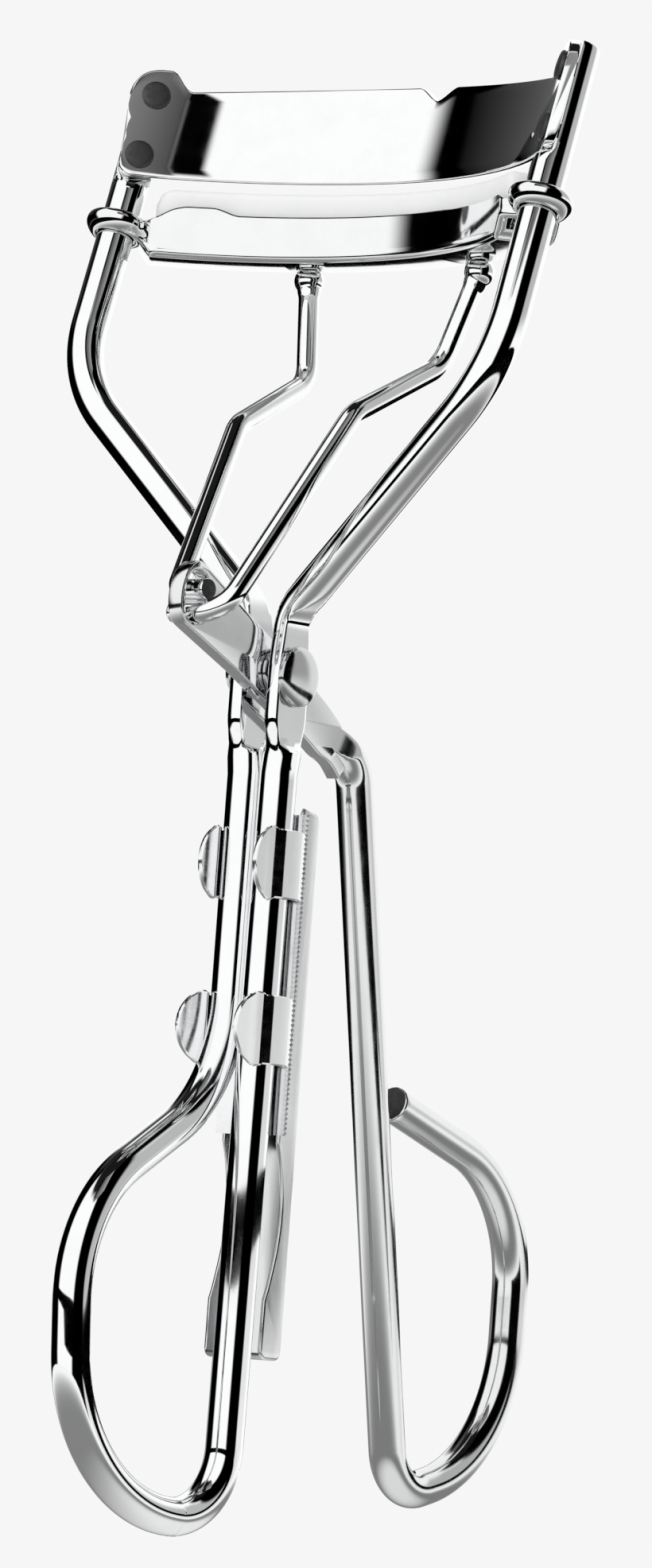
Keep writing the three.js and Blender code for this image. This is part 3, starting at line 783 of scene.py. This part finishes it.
def build_jaw_rivet(side, row):
    """A hammered rivet head on the front of an ear."""
    outward = ear_outward(side)
    z = JAW_RIVET_Z[row]
    centre = Vector((side * ARM_X, arm_y(z), z)) + outward * (EAR_FRONT_DEPTH - RIVET_SINK)
    profile = [(0, -1.2), (0.5, -1.2), (0.5, 0), (1.05, 0), (1.05, 0.1), (1.0, 0.2), (0.88, 0.26)]
    profile += [(0.6, 0.3), (0.3, 0.32), (0, 0.325)]
    name = f"jaw_rivet_{'left' if side < 0 else 'right'}_{'upper' if row else 'lower'}"
    rivet = lathe(name + "_head", profile, centre, outward, 40)
    finish_piece(rivet, RIVET_FACE, [name], "frame")


for rivet_side in (-1, 1):
    for rivet_row in (0, 1):
        build_jaw_rivet(rivet_side, rivet_row)


# ---- lower jaw ----

def channel_point(angle, offset, height):
    """A point of the lower jaw: plan angle, offset behind the middle line, and height."""
    radius = JAW_RADIUS + offset
    y = CHANNEL_MIDDLE_Y - JAW_RADIUS + radius * math.cos(angle)
    tilt = jaw_tilt(angle) * smooth(CHANNEL_BOTTOM_Z, PAD_TOP_Z, height)
    return Vector((radius * math.sin(angle), y, height - tilt))


def channel_section(angle):
    """Section of the channel at a plan angle: it narrows to a neck beside each eyelet."""
    far = abs(math.degrees(angle))
    narrow = smooth(39.6, 43.2, far)
    width = mix(CHANNEL_HALF_WIDTH, 0.95, narrow)
    rise_start = 40 if angle < 0 else 37
    low = mix(CHANNEL_BOTTOM_Z, EYELET_Z - 0.75, smooth(rise_start, rise_start + 3, far))
    rise = 0.5 * smooth(25, 30, far) * (1 - smooth(34, 40, far)) if angle < 0 else 0
    high = mix(CHANNEL_TOP_Z, EYELET_Z + 0.5, smooth(36.5, 42, far)) + rise
    sheet = min(CHANNEL_SHEET, width * 0.48)
    floor = mix(CHANNEL_BOTTOM_Z + CHANNEL_SHEET, high - 0.1, smooth(40, 40.6, far))
    bead = mix(0.5, 0.3, narrow)
    soft = 0.1
    points = [(-width, high - soft), (-width + soft, high), (-width + sheet - soft, high)]
    points += [(-width + sheet, high - soft), (-width + sheet, floor), (width - sheet, floor)]
    points += [(width - sheet, high - soft), (width - sheet + soft, high), (width - soft, high)]
    points += [(width, high - soft), (width, low + bead + 0.12)]
    points += round_edge(width, low, bead, 1)
    points += round_edge(width, low, bead, -1)
    points += [(-width, low + bead + 0.12), (-width, low + bead + 0.3)]
    return [channel_point(angle, offset, z) for offset, z in points]


def round_edge(width, low, bead, side):
    """The rolled lower edge of one wall, standing a little proud of the wall."""
    proud = 0.1 * bead
    points = []
    for k in range(9):
        turn = math.pi / 2 * k / 8
        points.append((width + proud - bead * (1 - math.cos(turn)), low + bead * (1 - math.sin(turn))))
    if side < 0:
        points = [(-offset, z) for offset, z in reversed(points)]
    return points


def eyelet_profile():
    """Rolled collar: flat top, round rim, tapering underneath to the bore."""
    return curve_through([
        (EYELET_BORE, 0.42), (EYELET_BORE + 0.2, 0.68), (1.95, 0.74), (2.22, 0.62), (EYELET_RADIUS, 0.3),
        (2.28, -0.05), (2.05, -0.42), (1.8, -0.64), (EYELET_BORE + 0.08, -0.7), (EYELET_BORE, -0.5),
    ], 5, closed=True)


def build_lower_jaw():
    """The channel with an eyelet at each end and two sockets for the link wires' balls."""
    steps = 168
    limit = math.radians(42.6)
    rings = [channel_section(mix(-limit, limit, k / steps)) for k in range(steps + 1)]
    jaw = rings_to_mesh("lower_jaw_smooth", rings, math.radians(40))
    along = Vector((0, ARM_LEAN, 1)).normalized()
    for side in (-1, 1):
        centre = (side * ARM_X, arm_y(EYELET_Z), EYELET_Z)
        bore = lathe("bore", [(0, -3), (EYELET_BORE, -3), (EYELET_BORE, 3), (0, 3)], centre, along)
        boolean(jaw, bore, "DIFFERENCE")
        collar = lathe("collar", eyelet_profile(), centre, along, 72, closed=True)
        boolean(jaw, collar, "UNION")
        under = (side * BALL.x, BALL.y, CHANNEL_BOTTOM_Z)
        socket = lathe("socket", [(0, -1), (1.25, -1), (1.25, 0.4), (0, 0.4)], under, (0, 0, 1))
        boolean(jaw, socket, "DIFFERENCE")
    finish_piece(jaw, CHROME_JAW, ["lower_jaw"], "jaw")


build_lower_jaw()


def pad_section(angle):
    """Crowned section of the pad, lower and narrower close to its ends."""
    from_end = (PAD_HALF_ANGLE - abs(angle)) * JAW_RADIUS
    top = PAD_TOP_Z - 1.1 * (1 - math.sqrt(max(1 - (1 - min(from_end / 1.4, 1)) ** 2, 0)))
    half = PAD_HALF_WIDTH - 0.45 * (1 - min(from_end, 1)) ** 2
    turns = [math.pi / 2 * m / PAD_CROWN_STEPS for m in range(PAD_CROWN_STEPS + 1)]
    front = [(-half + PAD_CROWN * (1 - math.cos(t)), top - PAD_CROWN * (1 - math.sin(t))) for t in turns]
    back = [(half - PAD_CROWN * (1 - math.sin(t)), top - PAD_CROWN * (1 - math.cos(t))) for t in turns]
    low = CHANNEL_BOTTOM_Z + CHANNEL_SHEET + PAD_SEAT_GAP
    return [channel_point(angle, offset, z) for offset, z in front + back + [(half, low), (-half, low)]]


def build_pad():
    """Silicone strip: upright sides, a crowned top and soft round ends."""
    steps = 120
    rings = [pad_section(mix(-PAD_HALF_ANGLE, PAD_HALF_ANGLE, k / steps)) for k in range(steps + 1)]
    pad = rings_to_mesh("silicone_pad_soft", rings, math.radians(60))
    bevel(pad, 0.15, 3)
    finish_piece(pad, SILICONE, ["silicone_pad"], "jaw")


build_pad()


# ---- link wires ----

def link_radius(distance, total):
    """Ball end that flows into a collar and then the plain wire, which has a cut end."""
    neck = math.sqrt(BALL_RADIUS ** 2 - LINK_COLLAR ** 2)
    if distance < BALL_RADIUS + neck:
        return max(math.sqrt(max(BALL_RADIUS ** 2 - (distance - BALL_RADIUS) ** 2, 0)), 0.001)
    wire = mix(LINK_COLLAR, LINK_RADIUS, smooth(BALL_RADIUS + neck, BALL_RADIUS + neck + 0.8, distance))
    return min(wire, end_round(max(distance, total / 2), total, LINK_RADIUS, 0.15) + wire - LINK_RADIUS)


def build_link_wire(name, corners):
    """One link wire: close sections through the ball, then plain wire to a cut end."""
    top = Vector(corners[0][:3])
    down = (Vector(corners[1][:3]) - top).normalized()
    corners = [tuple(top - down * BALL_RADIUS), *corners[1:]]
    line = bent_line(corners)
    start = line[0]
    dense = [start + down * BALL_RADIUS * (1 - math.cos(math.pi * k / 24)) for k in range(24)]
    dense += [start + down * BALL_RADIUS * (2 + 0.6 * k / 8) for k in range(9)]
    rest = [p for p in line if (p - start).length > BALL_RADIUS * 2.6 + 0.1]
    line = dense + rest
    end = (line[-2] - line[-1]).normalized()
    line = line[:-1] + [line[-1] + end * s for s in (0.15, 0.09, 0.04, 0.01)] + [line[-1]]
    total = line_length(line)

    def shape(_, distance, angle):
        radius = link_radius(distance, total)
        return radius * math.cos(angle), radius * math.sin(angle)

    wire = sweep(name + "_smooth", line, shape, sides=32)
    finish_piece(wire, CHROME_LINK, [name], "links", [(line[-1], line[-1] - line[-2])])


build_link_wire("link_wire_left", [
    (-BALL.x, BALL.y, BALL.z),
    (-5.97, 9.47, 22.2, 3),
    (-4.95, 0.59, 17.7, 3),
    (-1.6, SLOT_Y + 0.35, LINK_END_Z + LINK_PITCH / 2, 1.2),
    (1.5, SLOT_Y, LINK_END_Z + LINK_PITCH / 2),
])
build_link_wire("link_wire_right", [
    (BALL.x, BALL.y, BALL.z),
    (5.85, 9.47, 23, 3),
    (5.15, 0.59, 18.2, 3),
    (2.8, SLOT_Y + 0.1, LINK_END_Z - LINK_PITCH / 2, 2.2),
    (-1.6, SLOT_Y, LINK_END_Z - LINK_PITCH / 2),
])


# ---- handle ----

def slot_outline():
    """The lever's slot: two half circles (y, z)."""
    radius = SLOT_WIDTH / 2
    reach = SLOT_LENGTH / 2 - radius
    top = arc((SLOT_Y, SLOT_Z + reach), radius, 0, 180)
    return top + arc((SLOT_Y, SLOT_Z - reach), radius, 180, 360)


def lever_outline():
    """The flattened lever from the side: rounded tip, straight belly, shoulder where the rod starts."""
    tip = curve_through([
        (-8.2, 6.1), (-9.4, 6.5), (-10.5, 5.9), (-11.15, 4.6), (-11.2, 3.2), (-10.75, 2.2), (-9.9, 1.75),
    ], 6)
    belly = curve_through([(-4.3, -0.45), (-1, -1.95), (3.7, -4), (5.5, -4.95), (7, -5.5), (8.1, -6.4)], 6)
    back = curve_through([(9.8, -4.3), (8.75, -3.3), (6.8, -1.8), (4.8, -0.6)], 6)
    return tip + belly + back


def build_handle():
    """The lever plate joined to its round rod, which bends round into the second finger loop."""
    outline = lever_outline()
    lever = plate_from_outline("lever", outline, [slot_outline()], -HANDLE_HALF, HANDLE_HALF, 0.14)
    line = add_end_points(bent_line([
        (0, 6.4, -3.15),
        (0, 10.38, -5, 3.3),
        (0, 20.98, -56.39, 3.3),
        (0, HANDLE_LOOP_Y, -53.3, 11.5),
        (0, HANDLE_LOOP_Y, -33.35, 10.2),
        (0, 17.8, -28.5),
    ]))
    total = line_length(line)

    def shape(_, distance, angle):
        radius = end_round(max(distance, total / 2), total, ROD_RADIUS, 0.22)
        pressed = 1 - smooth(0.8, 3.6, distance)
        half = mix(ROD_RADIUS, HANDLE_HALF - 0.02, pressed)
        a = min(max(radius * math.cos(angle), -half), half)
        return a, radius * math.sin(angle) * mix(1, 0.75, pressed)

    handle = sweep("handle_smooth", line, shape)
    boolean(handle, lever, "UNION")
    shade(handle, math.radians(35))
    tail = (line[-1], line[-1] - line[-2])
    finish_piece(handle, CHROME_HANDLE, ["handle"], "handle", [tail])


build_handle()


# ---- pivot ----

def build_pivot():
    """Domed rivet with its tail, and the washer on each side of the lever."""
    rim = RIVET_HEAD_RADIUS
    turns = [math.pi / 2 * k / 12 for k in range(1, 13)]
    dome = [(0, 0), (rim - 0.12, 0), (rim, 0.1), (rim, 0.28)]
    dome += [(rim * math.cos(t), 0.28 + 0.68 * math.sin(t)) for t in turns]
    head = lathe("pivot_rivet_head", dome, (RIVET_FACE_X, 0, RIVET_HEAD_DROP), (1, 0, 0), 72)
    reach = RIVET_FACE_X + 0.2
    radius = RIVET_SHANK_RADIUS
    shank = lathe("shank", [(0, -reach), (radius, -reach), (radius, reach), (0, reach)], (0, 0, 0), (1, 0, 0))
    boolean(head, shank, "UNION")
    tail_profile = [(0, 0), (1.6, 0), (1.68, 0.12), (1.6, 0.4), (1.25, 0.62), (0.7, 0.69), (0, 0.7)]
    tail = lathe("tail", tail_profile, (-RIVET_FACE_X, 0, 0), (-1, 0, 0), 48)
    boolean(head, tail, "UNION")
    finish_piece(head, PIVOT_STEEL, ["pivot_rivet"], "frame")
    for side, name in ((-1, "left"), (1, "right")):
        low = HANDLE_HALF + 0.05
        high = CHEEK_X - CHEEK_HALF - 0.05
        rim = WASHER_RADIUS - WASHER_CHAMFER
        profile = [
            (WASHER_BORE, low), (WASHER_BORE, high), (rim, high), (WASHER_RADIUS, high - WASHER_CHAMFER),
            (WASHER_RADIUS, low + WASHER_CHAMFER), (rim, low),
        ]
        washer = lathe(f"washer_{name}", profile, (0, 0, 0), (side, 0, 0), 56, closed=True)
        finish_piece(washer, PIVOT_STEEL, [f"pivot_washer_{name}"], "frame")


build_pivot()


# ---- comb clip and tray ----

def tab_path(row):
    """Plan path (x, y) of a tab: beside the rod, in round the front of it, then out to its lip."""
    tip_x, tip_y = TAB_TIP[row]
    path = curve_through([
        (CLIP_X - 0.02, 1.1), (CLIP_X, 0.6), (CLIP_X, -0.1), (CLIP_X - 0.06, -0.7), (CLIP_X - 0.34, -1.15),
        (CLIP_X - 0.5, -1.6), (mix(CLIP_X - 0.5, tip_x, 0.5), mix(-1.6, tip_y, 0.5)), (tip_x, tip_y),
    ], 6)
    return [(CLIP_X - 0.5, CLIP_BACK_Y - 0.1), (CLIP_X - 0.12, CLIP_BACK_Y - 0.22)] + path


def tab_half_height(y, row):
    """Half height of a tab at a depth: even beside the rod, D-shaped towards the lip."""
    tip_y = TAB_TIP[row][1]
    half = TAB_LENGTH / 2
    if y > -1.2:
        return half * 0.97
    t = min((-1.2 - y) / (-1.2 - tip_y), 1)
    swell = 1 + 0.05 * math.sin(math.pi * min(t * 2.2, 1))
    return max(half * swell * math.sqrt(max(1 - t ** 2.3, 0)), 0.02)


def build_tab(name, side, row):
    """One tab of the clip, as sections across its sheet along its plan path."""
    path = [Vector((side * x, y, 0)) for x, y in tab_path(row)]
    middle = TAB_TOPS_Z[row] - TAB_LENGTH / 2
    rings = []
    for i, point in enumerate(path):
        before = path[max(i - 1, 0)]
        after = path[min(i + 1, len(path) - 1)]
        along = (after - before).normalized()
        inward = Vector((0, 0, 1)).cross(along) * side
        half = tab_half_height(point.y, row)
        round_by = min(0.1, half)
        outer = [(0, -half + round_by), (0, 0), (0, half - round_by)]
        inner = [(CLIP_SHEET, half - round_by), (CLIP_SHEET, 0), (CLIP_SHEET, -half + round_by)]
        top = [(round_by, half), (CLIP_SHEET - round_by, half)]
        bottom = [(CLIP_SHEET - round_by, -half), (round_by, -half)]
        section = outer + top + inner + bottom
        rings.append([point - inward * depth + Vector((0, 0, middle + z)) for depth, z in section])
    return rings_to_mesh(name, rings, math.radians(40))


def toothed_edge(x):
    """Long edge of the clip plate with its fine teeth, from bottom to top."""
    count = int((CLIP_TOP_Z - CLIP_BOTTOM_Z - 1) / TOOTH_PITCH)
    points = []
    for k in range(count):
        z = CLIP_BOTTOM_Z + 0.5 + k * TOOTH_PITCH
        points += [(x - 0.2, z), (x, z + TOOTH_PITCH * 0.5)]
    return points


def build_clip():
    """Flat clip plate with toothed long edges and two tabs on each side."""
    edge = toothed_edge(CLIP_X - 0.02)
    outline = edge + [(-x, z) for x, z in reversed(edge)]
    front = CLIP_BACK_Y - 0.3
    count = len(outline)
    points = [Vector((x, y, z)) for y in (front, CLIP_BACK_Y) for x, z in outline]
    faces = [tuple(range(count)), tuple(reversed(range(count, 2 * count)))]
    faces += [(k, (k + 1) % count, count + (k + 1) % count, count + k) for k in range(count)]
    clip = mesh_object("comb_clip_toothed", points, faces, math.radians(30))
    for row in (0, 1):
        for side in (-1, 1):
            boolean(clip, build_tab("tab", side, row), "UNION")
    finish_piece(clip, SATIN_CLIP, ["comb_clip"], "comb")


build_clip()


def tray_outline():
    """The tray's flange from the side (y, z): finger notch, rounded foot and heel, sloped crown."""
    front = CLIP_BACK_Y + 0.06
    notch = curve_through([
        (front, CLIP_BOTTOM_Z), (front + 0.55, -34.2), (front + 0.95, -36.8), (front + 0.75, -39.6),
        (front + 0.1, -42.3), (front - 0.28, -43.4),
    ], 8)
    foot = arc((front + 0.3, TRAY_BOTTOM_Z + 0.6), 0.6, 180, 270, 6)
    heel = arc((TRAY_BACK_Y - 0.6, TRAY_BOTTOM_Z + 0.6), 0.6, 270, 360, 6)
    crown = [(TRAY_BACK_Y, CLIP_TOP_Z - 1.4)] + arc((TRAY_BACK_Y - 0.7, CLIP_TOP_Z - 1.1), 0.7, 0, 60, 5)
    return [(front, CLIP_TOP_Z - 0.7)] + notch + foot + heel + crown + [(front + 0.3, CLIP_TOP_Z - 0.2)]


def build_tray():
    """A solid with the flange's outline, hollowed from the front into a channel."""
    left = TRAY_SHIFT - TRAY_X
    tray = plate_from_outline("comb_tray_smooth", tray_outline(), [], left, TRAY_SHIFT + TRAY_X, 0.2)
    inner = TRAY_X - TRAY_SHEET
    low = place((TRAY_SHIFT - inner, -2, TRAY_BOTTOM_Z + TRAY_SHEET))
    high = place((TRAY_SHIFT + inner, TRAY_BACK_Y - TRAY_SHEET, 0))
    bpy.ops.mesh.primitive_cube_add(size=1)
    trough = bpy.context.active_object
    trough.data.transform(Matrix.Translation((low + high) / 2) @ Matrix.Diagonal((*(high - low), 1)))
    boolean(tray, trough, "DIFFERENCE")
    bevel(tray, 0.05, 2, math.radians(50))
    finish_piece(tray, SATIN_TRAY, ["comb_tray"], "comb")


build_tray()


# ---- studio ----

def step_value(tree, source, middle, soft, rising):
    """A soft step up (or down) as a value passes the middle."""
    ends = (0, 1) if rising else (1, 0)
    return ranged(tree, source, middle - soft, middle + soft, *ends, kind="SMOOTHSTEP")


def window(tree, across, up, across_range, up_range, soft, lean=(0, 0)):
    """1 inside a soft-edged rectangle of two coordinates, 0 outside; its upright edges may lean."""
    from_middle = math_value(tree, "SUBTRACT", up, sum(up_range) / 2)
    to_left, to_right = [
        math_value(tree, "SUBTRACT", across, math_value(tree, "MULTIPLY", from_middle, amount))
        for amount in lean
    ]
    left = step_value(tree, to_left, across_range[0], soft, True)
    right = step_value(tree, to_right, across_range[1], soft, False)
    low = step_value(tree, up, up_range[0], soft, True)
    high = step_value(tree, up, up_range[1], soft, False)
    across, up = math_value(tree, "MULTIPLY", left, right), math_value(tree, "MULTIPLY", low, high)
    return math_value(tree, "MULTIPLY", across, up)


def direction(azimuth, elevation):
    """Unit vector at two angles (radians); azimuth 0 is the object's front."""
    level = math.cos(elevation)
    return Vector((math.sin(azimuth) * level, -math.cos(azimuth) * level, math.sin(elevation)))


def build_world():
    """The far studio: matt pieces get even light, reflections see the layers, the camera a backdrop."""
    world = bpy.data.worlds.new("pale_studio")
    bpy.context.scene.world = world
    world.use_nodes = True
    tree = world.node_tree
    background = tree.nodes["Background"]
    looked_at = tree.nodes.new("ShaderNodeTexCoord")
    turned = tree.nodes.new("ShaderNodeVectorRotate")
    turned.rotation_type = "Z_AXIS"
    turned.inputs["Angle"].default_value = -CAMERA_AZIMUTH
    tree.links.new(looked_at.outputs["Generated"], turned.inputs["Vector"])
    parts = tree.nodes.new("ShaderNodeSeparateXYZ")
    tree.links.new(turned.outputs["Vector"], parts.inputs["Vector"])
    degrees = 180 / math.pi
    back = math_value(tree, "MULTIPLY", parts.outputs["Y"], -1)
    azimuth = math_value(tree, "MULTIPLY", math_value(tree, "ARCTAN2", parts.outputs["X"], back), degrees)
    elevation = math_value(tree, "MULTIPLY", math_value(tree, "ARCSINE", parts.outputs["Z"]), degrees)
    level = tree.nodes.new("ShaderNodeValue").outputs["Value"]
    level.default_value = WHITE
    for across_range, up_range, soft, lean, value in FAR_LAYERS:
        mask = window(tree, azimuth, elevation, across_range, up_range, soft, lean)
        level = mixed(tree, mask, level, value)
    seen = tree.nodes.new("ShaderNodeLightPath")
    level = mixed(tree, seen.outputs["Is Diffuse Ray"], level, EVEN_LIGHT)
    level = mixed(tree, seen.outputs["Is Camera Ray"], level, BACKDROP)
    tree.links.new(level, background.inputs["Color"])


def card_material(name, left, right, soft):
    """Glowing card with soft edges, fading from its left brightness to its right one."""
    material, tree = new_material(name)
    place_node = tree.nodes.new("ShaderNodeTexCoord")
    parts = tree.nodes.new("ShaderNodeSeparateXYZ")
    tree.links.new(place_node.outputs["UV"], parts.inputs["Vector"])
    mask = window(tree, parts.outputs["X"], parts.outputs["Y"], (soft, 1 - soft), (soft, 1 - soft), soft)
    value = ranged(tree, parts.outputs["X"], 0, 1, left, right)
    clear = tree.nodes.new("ShaderNodeBsdfTransparent")
    blend = tree.nodes.new("ShaderNodeMixShader")
    tree.links.new(mask, blend.inputs["Fac"])
    tree.links.new(clear.outputs["BSDF"], blend.inputs[1])
    tree.links.new(glowing(tree, value), blend.inputs[2])
    tree.links.new(blend.outputs["Shader"], tree.nodes["Material Output"].inputs["Surface"])
    return material


def hide_card(obj):
    """Leaves a card visible to reflections only."""
    obj.visible_camera = False
    obj.visible_shadow = False
    obj.visible_diffuse = False


def card(name, seen_from, azimuth, elevation, distance, left, right, soft):
    """A curved card round a point of the object (mm); ranges in degrees from the camera's side."""
    rows = 12
    columns = 24
    points = []
    coordinates = []
    for i in range(rows + 1):
        e = math.radians(mix(*elevation, i / rows))
        for k in range(columns + 1):
            a = CAMERA_AZIMUTH + math.radians(mix(*azimuth, k / columns))
            points.append(place(Vector(seen_from) + direction(a, e) * distance))
            coordinates.append((k / columns, i / rows))
    sheet_mesh(name, points, coordinates, rows, columns, card_material(name, left, right, soft))


def sheet_mesh(name, points, coordinates, rows, columns, material):
    """A card's grid of points (metres) with its coordinates and material."""
    wide = columns + 1
    faces = [
        (i * wide + k, i * wide + k + 1, (i + 1) * wide + k + 1, (i + 1) * wide + k)
        for i in range(rows) for k in range(columns)
    ]
    mesh = bpy.data.meshes.new(name)
    mesh.from_pydata(points, [], faces)
    layer = mesh.uv_layers.new(name="card")
    for loop in mesh.loops:
        layer.data[loop.index].uv = coordinates[loop.vertex_index]
    obj = add_object(name, mesh)
    obj.data.materials.append(material)
    hide_card(obj)


def dark_gap():
    """A flat black ring all round, between the pale table and the foot of the softboxes."""
    columns = 72
    points = []
    coordinates = []
    for i, radius in enumerate(GAP_RADII):
        for k in range(columns + 1):
            a = 2 * math.pi * k / columns
            points.append(place((radius * math.sin(a), -radius * math.cos(a), GAP_Z)))
            coordinates.append((0.5, i))
    sheet_mesh("dark_gap", points, coordinates, 1, columns, card_material("dark_gap", 0, 0, 0.03))


def table():
    """A pale glowing table under the object, only seen in its reflections: greyer towards the middle, a
    painted shadow under the object.
    """
    bpy.ops.mesh.primitive_circle_add(vertices=96, radius=TABLE_RADIUS * MM, fill_type="NGON")
    obj = bpy.context.active_object
    obj.name = "table_glow"
    obj.data.transform(Matrix.Translation(place((*TABLE_CENTRE, TABLE_Z))))
    material, tree = new_material("table_glow")
    where = tree.nodes.new("ShaderNodeNewGeometry")
    away = tree.nodes.new("ShaderNodeVectorMath")
    away.operation = "DISTANCE"
    away.inputs[1].default_value = place((*TABLE_CENTRE, TABLE_Z))
    tree.links.new(where.outputs["Position"], away.inputs[0])
    distance = away.outputs["Value"]
    fade = [d * MM for d in TABLE_FADE]
    patch = [d * MM for d in TABLE_PATCH_FADE]
    # Painted shadow: the glow is darker grey near the middle, and a small patch at the very middle is lighter
    # again
    wide = ranged(tree, distance, *fade, TABLE_SHADOW_GREY, 1, kind="SMOOTHSTEP")
    near = ranged(tree, distance, *patch, TABLE_PATCH, 0, kind="SMOOTHSTEP")
    glow = glowing(tree, math_value(tree, "ADD", wide, near))
    tree.links.new(glow, tree.nodes["Material Output"].inputs["Surface"])
    obj.data.materials.append(material)
    hide_card(obj)


def build_studio():
    """Backdrop and far studio, the pale floor, and the table, gap and cards that reflections see."""
    bpy.context.scene.view_settings.view_transform = "Standard"
    build_world()
    bpy.ops.mesh.primitive_circle_add(vertices=96, radius=1.5, fill_type="NGON", location=(0, 0, -0.2))
    floor = bpy.context.active_object
    floor.name = "studio_floor"
    floor.visible_glossy = False
    paint, tree = new_material("pale_floor")
    tree.nodes["Principled BSDF"].inputs["Base Color"].default_value = (0.85, 0.85, 0.85, 1)
    tree.nodes["Principled BSDF"].inputs["Roughness"].default_value = 0.7
    floor.data.materials.append(paint)
    table()
    dark_gap()
    for settings in CARDS:
        card(*settings)


def build_camera():
    """The camera, from its place, its direction and its roll."""
    camera = bpy.data.cameras.new("camera")
    camera.lens = CAMERA_LENS
    camera.clip_start = 0.01
    obj = add_object("camera", camera)
    towards = direction(CAMERA_AZIMUTH, CAMERA_ELEVATION)
    right = (-towards).cross(Vector((0, 0, 1))).normalized()
    up = right.cross(-towards)
    turned_right = right * math.cos(CAMERA_ROLL) + up * math.sin(CAMERA_ROLL)
    turned_up = up * math.cos(CAMERA_ROLL) - right * math.sin(CAMERA_ROLL)
    axes = Matrix((turned_right, turned_up, towards)).transposed()
    obj.matrix_world = Matrix.Translation(place(CAMERA_AT)) @ axes.to_4x4()
    bpy.context.scene.camera = obj


build_studio()
build_camera()

bpy.context.view_layer.update()
